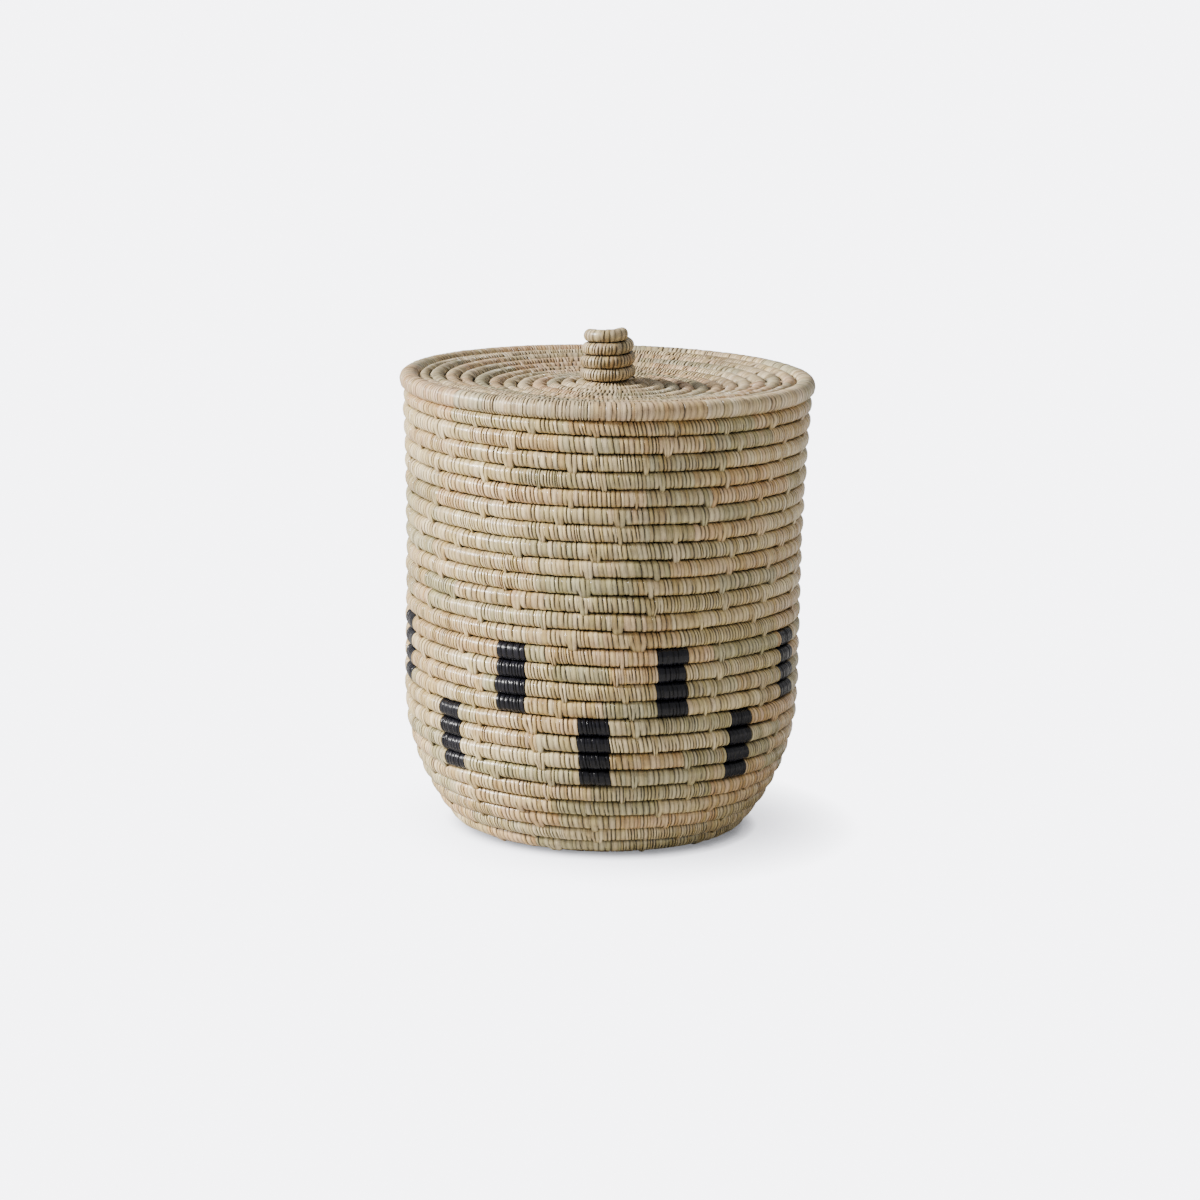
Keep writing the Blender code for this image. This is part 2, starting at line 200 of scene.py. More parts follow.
@dataclass
class Winding:
    """A bundle wound round the axis along a section, one pitch further out with each turn.

    Whole turns are at the front, and they run clockwise as seen from above. The last round thins out under
    the section's end, so that the edge it makes is level. These are the CAD coils' own rules.

    Attributes:
        section: The line that the rounds follow.
        thickness: The bundle's.
        round_gap: The gap between two rounds.
        levelling: How much of the climb of a turn is done at one side; 1 would leave the other side level.
        level_from: The share of a turn at which the last round starts to thin out.
        start_thickness: The bundle's at its start.
        start_turns: The turns after which it is whole.
        thinnest: The thickness at which the thinned end stops.
        samples_per_turn: How finely a run is sampled.
        calm_start: Where along the section the rounds start to stray, and over what length.
        calm_end: How far before its end they have stopped straying, and over what length.
        push_share: How far they stray in and out, as a share of how far they stray sideways.
        push_pace: How much faster they do so, by turns and by distance along the section.
        thin_depth: How deep a bundle that thins to nothing would be, as a share of its whole depth.
        overlap: How far each side goes past the middle of the gap to the next round.
    """

    section: Section
    thickness: float
    round_gap: float = 0.0005
    levelling: float = 0.8
    level_from: float = 0.714
    start_thickness: float = 0.005
    start_turns: float = 0.6
    thinnest: float = 0.0012
    samples_per_turn: int = 160
    calm_start: tuple[float, float] = (0.020, 0.050)
    calm_end: tuple[float, float] = (0.012, 0.030)
    push_share: float = 0.45
    push_pace: tuple[float, float] = (3.1, 2.3)
    thin_depth: float = 0.45
    overlap: float = 0.00005
    pitch: float = field(init=False)
    rounds: int = field(init=False)
    offset: float = field(init=False)

    def __post_init__(self) -> None:
        """Fits whole rounds to the section, counted back from its end."""
        self.pitch = self.thickness + self.round_gap
        edge = self.section.length - self.thickness / 2
        self.rounds = math.floor(edge / self.pitch - self.climbed(self.level_from))
        self.offset = edge - self.pitch * (self.rounds + self.climbed(self.level_from))

    @property
    def top(self) -> int:
        """The last round's turn at the front."""
        return round(self.rounds + self.level_from)

    def climbed(self, turn: np.ndarray) -> np.ndarray:
        """Returns how many pitches a bundle has climbed after a number of turns."""
        return turn - self.levelling * np.sin(TAU * turn) / TAU

    def first_turn(self) -> float:
        """Returns the turn at which the bundle is just clear of the axis."""
        turns = np.arange(-1.0, 1.5, 0.01)
        clear = self.pitch * self.climbed(turns) + self.offset >= self.start_thickness / 2 + self.round_gap
        return float(turns[np.argmax(clear)])

    def last_turn(self) -> float:
        """Returns the turn at which the thinned end stops."""
        turns = np.arange(self.rounds + self.level_from, self.rounds + 2.5, 0.005)
        thick = 2 * self.bundle(turns)[1] > self.thinnest
        return float(turns[np.argmin(thick)])

    def bundle(self, turn: np.ndarray) -> tuple[np.ndarray, np.ndarray]:
        """Returns where the bundle's middle is along the section, and its half thickness."""
        half = self.thickness / 2
        plain = self.pitch * self.climbed(turn) + self.offset
        begun = eased((turn - self.first_turn()) / self.start_turns)
        swelled = self.start_thickness / 2 + (half - self.start_thickness / 2) * begun
        below = plain - self.pitch + half + self.round_gap
        thinned = (self.section.length - below) / 2
        whole = plain + half <= self.section.length + 1e-9
        return np.where(whole, plain, below + thinned), np.where(whole, swelled, thinned)

    def run(self, first: float, last: float, facing: float, deep: float, wander: float, draw: int) -> Run:
        """Returns the samples of a stretch of the bundle.

        Args:
            first: The turn it starts at.
            last: The turn it ends at.
            facing: 1 if the side looked at is the section's outer one, -1 if it is the inner one.
            deep: Half the bundle's size towards the side looked at.
            wander: How far the rounds stray from their even places, in metres.
            draw: Which straying it is.

        Returns:
            The run.
        """
        turn = np.linspace(first, last, max(8, round((last - first) * self.samples_per_turn)))
        distance, half = self.bundle(turn)
        slope = self.section.slope(distance)
        outward, along = outward_at(-TAU * turn), clockwise_at(-TAU * turn)
        onward = outward * np.cos(slope)[:, None] + UP * np.sin(slope)[:, None]
        face = facing * (outward * np.sin(slope)[:, None] - UP * np.cos(slope)[:, None])
        radius, height = self.section.place(distance)
        whole = half / (self.thickness / 2)
        room = eased((self.section.length - distance - self.calm_end[0]) / self.calm_end[1])
        room = room * eased((distance - self.calm_start[0]) / self.calm_start[1])
        sway = wander * room * straying(turn, distance, draw)
        by_turn, by_distance = self.push_pace
        faster = straying(by_turn * turn, by_distance * distance, draw + 1)
        push = self.push_share * wander * room * faster
        centre = outward * radius[:, None] + UP * height[:, None]
        centre = centre + onward * sway[:, None] + face * push[:, None]
        flat = self.thin_depth + (1 - self.thin_depth) * whole
        tall = half + (self.round_gap / 2 + self.overlap) * whole
        begins = 1.0 * (turn < self.first_turn() + 1)
        ends = 1.0 * (turn > self.last_turn() - 1)
        return Run(centre, face, onward, along, deep * flat, tall, begins, ends)

    def widen_start(self, run: Run, first: float, last: float) -> None:
        """Widens a run's thin start until it meets the next round.

        Args:
            run: The run, which is changed.
            first: The turn that the run starts at.
            last: The turn that it ends at.
        """
        turn = np.linspace(first, last, len(run.distance))
        distance, half = self.bundle(turn)
        ahead, ahead_half = self.bundle(turn + 1)
        spare = np.maximum(ahead - ahead_half - self.round_gap - distance - half, 0.0) / 2
        spare = np.where(turn < first + self.start_turns, spare, 0.0)
        run.centre += run.onward * spare[:, None]
        run.tall += spare


def straying(turn: np.ndarray, distance: np.ndarray, draw: int) -> np.ndarray:
    """Returns a slow wave over the rounds, from about -1 to 1.

    Args:
        turn: Turns along the bundle.
        distance: Distances along the section, in metres.
        draw: Which wave it is.

    Returns:
        One value for each.
    """
    rng = np.random.default_rng(draw)
    total = np.zeros_like(turn)
    for cycles in STRAY_CYCLES:
        twist, start = rng.uniform(*STRAY_TWIST), rng.uniform(0, TAU)
        total += STRAY_STRENGTH / math.sqrt(cycles) * np.sin(TAU * cycles * turn + distance * twist + start)
    return total


def level_run(radius: float, height: float, deep: float, tall: float, join_deg: float) -> Run:
    """Returns a single level round, looked at from above.

    Args:
        radius: From the axis to the bundle's middle.
        height: The middle's height.
        deep: Half its height.
        tall: Half its width.
        join_deg: The azimuth at which its ends meet, to the right from the front.

    Returns:
        The run.
    """
    join_gap = 0.002
    azimuth = math.radians(join_deg) + np.linspace(join_gap, TAU - join_gap, 400)
    outward = outward_at(azimuth)
    same = np.ones(len(azimuth))
    return Run(
        outward * radius + UP * height, UP + 0 * outward, outward, -clockwise_at(azimuth),
        deep * same, tall * same, same, same,
    )


def post_run(low: float, high: float, radius: float) -> Run:
    """Returns an upright bundle on the axis, which fills the middle of a spiral.

    Args:
        low: The height of its foot.
        high: The height of its top.
        radius: Half its thickness.

    Returns:
        The run.
    """
    same = np.ones(12)
    axes = [np.outer(same, axis) for axis in ((0, -1, 0), (1, 0, 0), (0, 0, 1))]
    centre = np.outer(np.linspace(low, high, len(same)), UP)
    return Run(centre, *axes, radius * same, radius * same, same, same)


@dataclass
class Rings:
    """Cross-sections along a stretch of wrapped bundle.

    Attributes:
        corners: The corners of each ring.
        places: How far along the bundle each ring is.
        values: For each corner, the strip, the wrap, the painted shade of a cut and the painted shade between
            rounds.
        hard: Whether each ring is a strip's edge, at which the shading breaks.
    """

    corners: np.ndarray
    places: np.ndarray
    values: np.ndarray
    hard: np.ndarray


def shaded_joint_rings(section: Section, reach: float, spare: float) -> Rings:
    """Returns a thin dish of grass along a section, dark as painted shade all over, which closes the joints
    between its rounds.

    Args:
        section: The line that the rounds follow.
        reach: How far along the line the dish goes.
        spare: How far it goes on outwards, level, into the next coil.

    Returns:
        The dish's cross-sections round the axis.
    """
    half, hole, join_gap = 0.0016, 0.0015, 0.001
    along = np.linspace(hole, reach, 60)
    radius, height = section.place(along)
    lean = section.slope(along)
    radius, height = np.append(radius, radius[-1] + spare), np.append(height, height[-1])
    aside, up = half * np.append(np.sin(lean), 0.0), half * np.append(np.cos(lean), 1.0)
    loop_radius = np.concatenate([radius - aside, (radius + aside)[::-1]])
    loop_height = np.concatenate([height + up, (height - up)[::-1]])
    azimuth = np.linspace(join_gap, TAU - join_gap, 121)
    corners = outward_at(azimuth)[:, None] * loop_radius[None, :, None] + UP * loop_height[None, :, None]
    # Full cut shade and full shade between rounds: the dish is painted shade all over.
    values = np.ones((*corners.shape[:2], 1)) * np.array([0.5, 0.5, 1.0, 1.0])
    return Rings(corners, azimuth * radius.mean(), values, np.zeros(len(azimuth), dtype=bool))


@dataclass(frozen=True)
class WrapStyle:
    """How leaf strip lies on a bundle.

    Attributes:
        width: One wrap's usual width.
        strip_run: The least and the most length of bundle that one strip covers.
        crown: How far a wrap's middle stands above its sides.
        gap_depth: How deep a gaping cut between two wraps is.
        open_share: The share of the cuts that gape.
        mouth_share: How wide the cuts are, as a share of their usual width.
        lean: How far a wrap leans along the bundle between its top and its bottom.
        stitch_every: The least and the most distance between stitches; no stitches if it is zero.
        fullness: How square the cross-section is; 2 is round.
    """

    width: float = 0.0029
    strip_run: tuple[float, float] = (0.025, 0.090)
    crown: float = 0.00012
    gap_depth: float = 0.00120
    open_share: float = 0.66
    mouth_share: float = 1.0
    lean: float = 0.0008
    stitch_every: tuple[float, float] = (0.036, 0.060)
    fullness: float = 2.3


@dataclass(frozen=True)
class WrapShape:
    """The five cross-sections of a wrap, in order: in the cut before it, near side, back, back, far side.

    Attributes:
        back_places: Where the two on its back are, as shares of its width.
        far_back_rise: How high the second of these stands, as a share of the crown.
        in_cut: How deep in a cut each of the five is.
        most_mouth: The most of its width that a cut's mouth takes.
        side_shade: How dark the painted shade on its sides is, as a share of the cut's painted shade.
        side_rise: How far it stands out sideways, as a share of how far it stands out to the front.
        hidden_lean: The share of its lean that is lost on the hidden side.
        cut_end: The distance, in half sizes, over which a cut ends.
    """

    back_places: tuple[float, float] = (0.36, 0.66)
    far_back_rise: float = 0.92
    in_cut: tuple[float, ...] = (1.0, 0.15, 0.0, 0.0, 0.15)
    most_mouth: float = 0.26
    side_shade: float = 0.35
    side_rise: float = 0.4
    hidden_lean: float = 0.5
    cut_end: float = 0.35


@dataclass(frozen=True)
class Unevenness:
    """How wraps laid by hand differ: pairs are the least and the most, and shares are of the usual value.

    Attributes:
        strip_width: The share of the usual width that the wraps of one strip have.
        wrap_width: The spread of the widths within a strip.
        wrap_width_limits: The shares that these stay within.
        lean: The share of the usual lean.
        looseness: The share of the usual number of a strip's cuts that gape.
        tone: The spread of the tones within a strip.
        height: The spread of how far wraps stand out, in metres.
        height_limits: What these stay within.
        shingle: The spread of how far one side of a wrap stands over the other.
        gape: The depth of a gaping cut, as a share.
        closed: The depth of the other cuts, as a share.
        wide_mouth: The width of a gaping cut's mouth, in metres.
        narrow_mouth: The width of another cut's mouth.
        gape_shade: How dark the painted shade in a gaping cut is.
        closed_shade: How dark the painted shade in another cut is.
        cut_from: Where, from side to side of the bundle, a cut begins.
        cut_to: Where it ends.
        ragged: The spread of how far wraps go to the sides.
    """

    strip_width: tuple[float, float] = (0.72, 1.40)
    wrap_width: float = 0.20
    wrap_width_limits: tuple[float, float] = (0.5, 1.7)
    lean: tuple[float, float] = (0.35, 1.5)
    looseness: tuple[float, float] = (0.35, 1.65)
    tone: float = 0.02
    height: float = 0.00007
    height_limits: tuple[float, float] = (-0.00018, 0.00022)
    shingle: float = 0.00006
    gape: tuple[float, float] = (0.7, 1.3)
    closed: float = 0.14
    wide_mouth: tuple[float, float] = (0.00028, 0.00060)
    narrow_mouth: tuple[float, float] = (0.00015, 0.00028)
    gape_shade: tuple[float, float] = (0.94, 1.0)
    closed_shade: tuple[float, float] = (0.50, 0.95)
    cut_from: tuple[float, float] = (-1.9, -0.45)
    cut_to: tuple[float, float] = (0.35, 1.9)
    ragged: float = 0.022


@dataclass(frozen=True)
class Stitch:
    """How a stitch reaches over to the round before.

    Attributes:
        wraps: How many wraps it takes, each number as often as it stands here.
        tuck: The least and the most of the full reach that one of its wraps has.
        gather: How far its wraps are drawn together, as a share of their distance from its middle.
        gather_limit: The distance sideways, in half sizes, from which they are drawn no more.
        rise: How far it stands above the other wraps.
        mouth: The width of the cuts at its sides.
        shade: How dark the painted shade in these is.
        cut_from: Where, from side to side of the bundle, they begin.
        cut_to: The places where they may end.
        reach: How far it goes over the round before, in half thicknesses.
        corners: Its first corners, out and sideways in half sizes, and the share of the reach that each has.
        sunk_in_cut: The share of the reach that is lost in a cut.
        cover: The share of the painted shade between two rounds that it covers.
    """

    wraps: tuple[int, ...] = (1, 2, 2, 2, 3)
    tuck: tuple[float, float] = (0.8, 1.05)
    gather: float = 0.35
    gather_limit: float = 1.2
    rise: float = 0.00005
    mouth: float = 0.00036
    shade: float = 0.95
    cut_from: float = -2.0
    cut_to: tuple[float, ...] = (-0.3, 0.0, 1.9)
    reach: float = 0.30
    corners: tuple[tuple[float, float, float], ...] = (
        (0.60, -1.05, 1.0), (0.72, -1.02, 0.7), (0.79, -1.0, 0.0), (0.84, -0.84, 0.0), (0.89, -0.62, 0.0))
    sunk_in_cut: float = 0.8
    cover: float = 0.7


WRAP = WrapShape()
UNEVEN = Unevenness()
STITCH = Stitch()
UNSTITCHED = (0, 0)


@dataclass
class Wrapping:
    """The wraps on one run of bundle, worked out once, of which pieces take stretches.

    Attributes:
        run: The bundle.
        style: How the strip lies.
        draw: Which random draw it is.
        breaks: Distances along the bundle at which one wrap has to end.
        plain: Stretches of the bundle, by distance, that have no stitches.
    """

    run: Run
    style: WrapStyle
    draw: int
    breaks: tuple[float, ...] = ()
    plain: tuple[tuple[float, float], ...] = ()

    def __post_init__(self) -> None:
        """Lays the strips and wraps along the bundle and chooses the stitches."""
        rng = np.random.default_rng(self.draw)
        loose = self._lay_strips(rng)
        count = len(self.edges) - 1
        self.tone = rng.uniform(0, 1, count)
        self.height = rng.normal(0, UNEVEN.height, count).clip(*UNEVEN.height_limits)
        self.shingle = rng.normal(0, UNEVEN.shingle, count)
        gaping = rng.uniform(size=count + 1) < self.style.open_share * np.array([*loose, 1.0])
        gape = rng.uniform(*UNEVEN.gape, count + 1)
        self.depth = self.style.gap_depth * np.where(gaping, gape, UNEVEN.closed)
        wide, narrow = (rng.uniform(*mouth, count + 1) for mouth in (UNEVEN.wide_mouth, UNEVEN.narrow_mouth))
        self.mouth = self.style.mouth_share * np.where(gaping, wide, narrow)
        dark, faint = (rng.uniform(*shade, count + 1) for shade in (UNEVEN.gape_shade, UNEVEN.closed_shade))
        self.shade = np.where(gaping, dark, faint)
        self.cut_from = rng.uniform(*UNEVEN.cut_from, count + 1)
        self.cut_to = rng.uniform(*UNEVEN.cut_to, count + 1)
        self.ragged = rng.normal(0, UNEVEN.ragged, count)
        self.tuck = np.zeros(count)
        self.pull = np.zeros(count)
        self._choose_stitches(rng)

    def _lay_strips(self, rng: np.random.Generator) -> list[float]:
        """Lays strips along the bundle and divides each into wraps.

        Args:
            rng: The random draw.

        Returns:
            How loosely each wrap lies.
        """
        style = self.style
        total = float(self.run.distance[-1])
        edges, strip, lean, loose, ends = [], [], [], [], []
        stops = sorted({0.0, total, *self.breaks})
        start = 0.0
        while start < total:
            start += rng.uniform(*style.strip_run)
            ends.append(min(start, total))
        least_strip = 0.4 * style.width
        start = 0.0
        for end in sorted({*ends, *stops[1:]}):
            if end - start < least_strip:
                if end in stops and edges:
                    edges[-1] = start
                else:
                    continue
            mean = style.width * rng.uniform(*UNEVEN.strip_width)
            count = max(1, round((end - start) / mean))
            parts = rng.normal(1.0, UNEVEN.wrap_width, count).clip(*UNEVEN.wrap_width_limits)
            places = start + (end - start) * np.concatenate([[0.0], np.cumsum(parts)[:-1]]) / parts.sum()
            edges += list(places)
            strip += [rng.uniform()] * count
            lean += [style.lean * rng.uniform(*UNEVEN.lean)] * count
            loose += [rng.uniform(*UNEVEN.looseness)] * count
            start = end
        self.edges = np.array([*edges, total])
        self.strip = np.array(strip) + rng.normal(0, UNEVEN.tone, len(edges))
        self.lean = np.array(lean)
        return loose

    def _choose_stitches(self, rng: np.random.Generator) -> None:
        """Marks the wraps that reach over to the round before."""
        least, most = self.style.stitch_every
        if not most:
            return
        place = rng.uniform(least, most)
        while place < self.edges[-1] - least:
            first = int(np.searchsorted(self.edges, place))
            wraps = int(rng.choice(STITCH.wraps))
            middle = (self.edges[first] + self.edges[min(first + wraps, len(self.edges) - 1)]) / 2
            if any(start < middle < end for start, end in self.plain):
                place += rng.uniform(least, most) / 2
                continue
            after = min(first + wraps, len(self.tuck))
            for j in range(first, after):
                self.tuck[j] = rng.uniform(*STITCH.tuck)
                self.pull[j] = -STITCH.gather * ((self.edges[j] + self.edges[j + 1]) / 2 - middle)
                self.height[j] += STITCH.rise
            for edge in (first, after):
                self.depth[edge] = self.style.gap_depth
                self.mouth[edge] = STITCH.mouth
                self.shade[edge] = STITCH.shade
                self.cut_from[edge] = STITCH.cut_from
                self.cut_to[edge] = rng.choice(STITCH.cut_to)
            place += rng.uniform(least, most)

    def nearest(self, distance: float) -> int:
        """Returns the number of the wrap edge nearest to a distance along the bundle."""
        return int(np.argmin(np.abs(self.edges - distance)))

    def whole(self) -> Rings:
        """Returns the cross-sections of all the wraps."""
        return self.rings(0, len(self.edges) - 1)

    def rings(self, first: int, last: int) -> Rings:
        """Returns the cross-sections of the wraps from one edge to another.

        Args:
            first: The edge that the stretch starts at.
            last: The edge that it ends at.

        Returns:
            The cross-sections.
        """
        j = np.arange(first, last)

        def spread(values: np.ndarray) -> np.ndarray:
            """Returns the wraps' values for each of their cross-sections."""
            return np.append(np.repeat(values[j], len(WRAP.in_cut)), values[last - 1])

        places, rise, shade = self._wrap_profile(first, last)
        in_cut = np.append(np.tile(WRAP.in_cut, len(j)), 1.0)
        tuck = spread(self.tuck) * (1 - STITCH.sunk_in_cut * in_cut)
        run = self.run.at(places)
        angle = np.radians(CORNERS_DEG)
        power = 2 / self.style.fullness
        out, side = (np.sign(f) * np.abs(f) ** power for f in (np.cos(angle), np.sin(angle)))
        reach_out, reach_side = self._stitch_shape(out, side)
        x = out + tuck[:, None] * (reach_out - out)
        y = side + tuck[:, None] * (reach_side - side)
        window = np.ones_like(x)
        window[::len(WRAP.in_cut)] = self._cut_window(first, last, side)
        rise = rise[:, None] * np.where(rise[:, None] < 0, window, 1.0)
        x = x * (run.deep[:, None] + rise)
        y = y * (run.tall[:, None] + WRAP.side_rise * rise) * (1 + spread(self.ragged))[:, None]
        lean = spread(self.lean)[:, None]
        shift = lean * side - WRAP.hidden_lean * lean * side * (out < 0)
        pull = (spread(self.pull) * (tuck > 0))[:, None]
        shift = shift + pull * np.clip(-reach_side, 0, STITCH.gather_limit)
        corners = (
            run.centre[:, None] + run.face[:, None] * x[..., None] + run.onward[:, None] * y[..., None]
            + run.along[:, None] * shift[..., None]
        )
        # Painted shade between rounds, where the bundle meets the round beside it; none where no round lies
        # there, less under a stitch.
        beside = np.where(side > 0, run.open_after[:, None], run.open_before[:, None])
        between = np.clip((np.abs(side) - SHADE_BETWEEN_FROM) / SHADE_BETWEEN_EASE, 0, 1) * (1 - beside)
        between = between * (1 - STITCH.cover * tuck[:, None])
        ones = np.ones_like(x)
        strip, tone = (spread(v)[:, None] * ones for v in (self.strip, self.tone))
        # The strip, the wrap, the cut's painted shade where the cut runs, and the painted shade between rounds.
        values = np.stack([strip, tone, shade[:, None] * window, between], axis=-1)
        hard = np.append(np.tile([False, True, False, False, True], len(j)), False)
        return Rings(corners, places, values, hard)

    def _wrap_profile(self, first: int, last: int) -> tuple[np.ndarray, np.ndarray, np.ndarray]:
        """Returns the outline of the wraps along the bundle.

        Args:
            first: The edge that the stretch starts at.
            last: The edge that it ends at.

        Returns:
            For each cross-section its place along the bundle, how far it stands out, and its cut's painted
            shade.
        """
        j = np.arange(first, last)
        width = self.edges[j + 1] - self.edges[j]
        near, far = (np.minimum(self.mouth[k], WRAP.most_mouth * width) for k in (j, j + 1))
        backs = [share * width for share in WRAP.back_places]
        places = np.stack([0 * width, near, *backs, width - far], axis=1) + self.edges[j][:, None]
        height, crown = self.height[j], self.style.crown
        rise = np.stack([
            -self.depth[j], height + self.shingle[j], height + crown, height + WRAP.far_back_rise * crown,
            height - self.shingle[j],
        ], axis=1)
        # The cuts' painted shade: full in the cut, a share of it on the wrap's sides.
        before, after = self.shade[j], self.shade[j + 1]
        shades = (before, WRAP.side_shade * before, 0 * width, 0 * width, WRAP.side_shade * after)
        shade = np.stack(shades, axis=1)
        ends = (self.edges[last], -self.depth[last], self.shade[last])
        places, rise, shade = (np.append(v.ravel(), end) for v, end in zip((places, rise, shade), ends))
        return places, rise, shade

    def _cut_window(self, first: int, last: int, side: np.ndarray) -> np.ndarray:
        """Returns the share of its depth that each cut has at each corner; few run over the whole round."""
        cuts = np.arange(first, last + 1)
        starts = np.clip((side - self.cut_from[cuts][:, None]) / WRAP.cut_end, 0, 1)
        stops = np.clip((self.cut_to[cuts][:, None] - side) / WRAP.cut_end, 0, 1)
        return starts * stops

    def _stitch_shape(self, out: np.ndarray, side: np.ndarray) -> tuple[np.ndarray, np.ndarray]:
        """Returns the cross-section of a wrap that reaches over to the round before, in half sizes."""
        reach_out, reach_side = out.copy(), side.copy()
        for corner, (x, y, share) in enumerate(STITCH.corners):
            reach_out[corner], reach_side[corner] = x, y - share * STITCH.reach
        return reach_out, reach_side


@dataclass
class Skin:
    """One piece's mesh, made of stretches of wrapping.

    Attributes:
        name: The piece's name.
        stretches: The cross-sections of each stretch.
        bands: How many bands the bundle is laid in on its baked map.
    """

    name: str
    stretches: list[Rings]
    bands: int = 12

    def mesh(self) -> bpy.types.Mesh:
        """Returns the closed mesh, with its maps and the values that its material reads.

        Returns:
            The mesh.
        """
        corners = self.stretches[0].corners.shape[1]
        loops, starts, strip_uv, laid_uv, base, packed = [], [], [], [], 0, 0.0
        total = sum(float(s.places[-1] - s.places[0]) for s in self.stretches)
        band = total / self.bands
        for stretch in self.stretches:
            points, distance = stretch.corners, stretch.places
            rings = len(points)
            middle = points[rings // 2]
            steps = np.linalg.norm(np.diff(middle, axis=0, append=middle[:1]), axis=1)
            around = np.concatenate([[0.0], np.cumsum(steps)])
            ring, corner = np.meshgrid(np.arange(rings - 1), np.arange(corners), indexing="ij")
            ring, corner = ring.ravel(), corner.ravel()
            after = (corner + 1) % corners
            order = slice(None, None, -1) if self._inside_out(points) else slice(None)
            quads = base + np.stack([
                ring * corners + corner, ring * corners + after, (ring + 1) * corners + after,
                (ring + 1) * corners + corner,
            ], axis=1)[:, order]
            low, high = around[corner], around[corner + 1]
            near, far = distance[ring], distance[ring + 1]
            strip_uv.append(np.stack([
                np.stack([near, near, far, far], 1), np.stack([low, high, high, low], 1)], -1)[:, order])
            laid = distance - distance[0] + packed
            row = np.minimum((laid[ring] / band).astype(int), self.bands - 1)
            u0, u1 = ((laid[k] - row * band) / band * BAND_LENGTH for k in (ring, ring + 1))
            v0, v1 = ((row + BAND_MARGIN + BAND_WIDTH * a / around[-1]) / self.bands for a in (low, high))
            laid_uv.append(np.stack([
                np.stack([u0, u0, u1, u1], 1), np.stack([v0, v1, v1, v0], 1)], -1)[:, order])
            ends = [np.arange(corners)[::-1], (rings - 1) * corners + np.arange(corners)]
            loops += [quads.ravel(), *[base + end[order] for end in ends]]
            starts += [np.full(len(quads), 4), np.array([corners, corners])]
            for uv, spot in ((strip_uv, (distance[0], 0.0)), (laid_uv, (u0[0], v0[0]))):
                uv.append(np.tile(spot, (2 * corners, 1)))
            packed += float(distance[-1] - distance[0])
            base += rings * corners
        mesh = self._build(loops, starts, strip_uv, laid_uv)
        self._harden(mesh, corners)
        mesh.validate()
        return mesh

    def _inside_out(self, points: np.ndarray) -> bool:
        """Returns whether faces in the usual order would look inwards."""
        ring = points[len(points) // 2]
        step = points[len(points) // 2 + 1][0] - ring[0]
        normal = np.cross(ring[1] - ring[0], step)
        return float(normal @ (ring[0] - ring.mean(axis=0))) < 0

    def _harden(self, mesh: bpy.types.Mesh, corners: int) -> None:
        """Breaks the shading along the edges of the strips."""
        mesh.shade_smooth()
        ends = np.empty(2 * len(mesh.edges), dtype=np.int32)
        mesh.edges.foreach_get("vertices", ends)
        ring = ends.reshape(-1, 2) // corners
        hard = np.concatenate([s.hard for s in self.stretches])
        mesh.edges.foreach_set("use_edge_sharp", (ring[:, 0] == ring[:, 1]) & hard[ring[:, 0]])

    def _build(self, loops: list, starts: list, strip_uv: list, laid_uv: list) -> bpy.types.Mesh:
        """Returns a mesh from flat lists of its parts.

        Args:
            loops: The corners of the faces, by number.
            starts: How many corners each face has.
            strip_uv: The map that the leaf's fibres follow.
            laid_uv: The map for baking.

        Returns:
            The mesh.
        """
        mesh = bpy.data.meshes.new(self.name)
        places = np.concatenate([s.corners.reshape(-1, 3) for s in self.stretches])
        loops, sizes = np.concatenate(loops), np.concatenate(starts)
        mesh.vertices.add(len(places))
        mesh.loops.add(len(loops))
        mesh.polygons.add(len(sizes))
        mesh.vertices.foreach_set("co", places.ravel().astype(np.float32))
        mesh.loops.foreach_set("vertex_index", loops.astype(np.int32))
        mesh.polygons.foreach_set("loop_start", np.concatenate([[0], np.cumsum(sizes)[:-1]]).astype(np.int32))
        mesh.update(calc_edges=True)
        for name, parts in (("OFBake", laid_uv), ("strip", strip_uv)):
            layer = mesh.uv_layers.new(name=name)
            flat = np.concatenate([np.asarray(p).reshape(-1, 2) for p in parts])
            layer.data.foreach_set("uv", flat.ravel().astype(np.float32))
        values = np.concatenate([s.values.reshape(-1, 4) for s in self.stretches])
        weave_and_shade = mesh.attributes.new("weave_and_shade", "FLOAT_COLOR", "POINT")
        weave_and_shade.data.foreach_set("color", values.ravel().astype(np.float32))
        return mesh

    def add(self, part: Part, finish: "Finish", *nodes: str) -> bpy.types.Object:
        """Adds the piece to the scene in place of CAD nodes.

        Args:
            part: The body it rides on.
            finish: Its finish.
            *nodes: The CAD nodes that it stands for.

        Returns:
            The piece.
        """
        piece = bpy.data.objects.new(self.name, self.mesh())
        bpy.context.scene.collection.objects.link(piece)
        piece.data.materials.append(finish.material())
        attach(piece, part.value)
        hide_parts(*nodes)
        LOG.info("%s: %d faces", self.name, len(piece.data.polygons))
        return piece


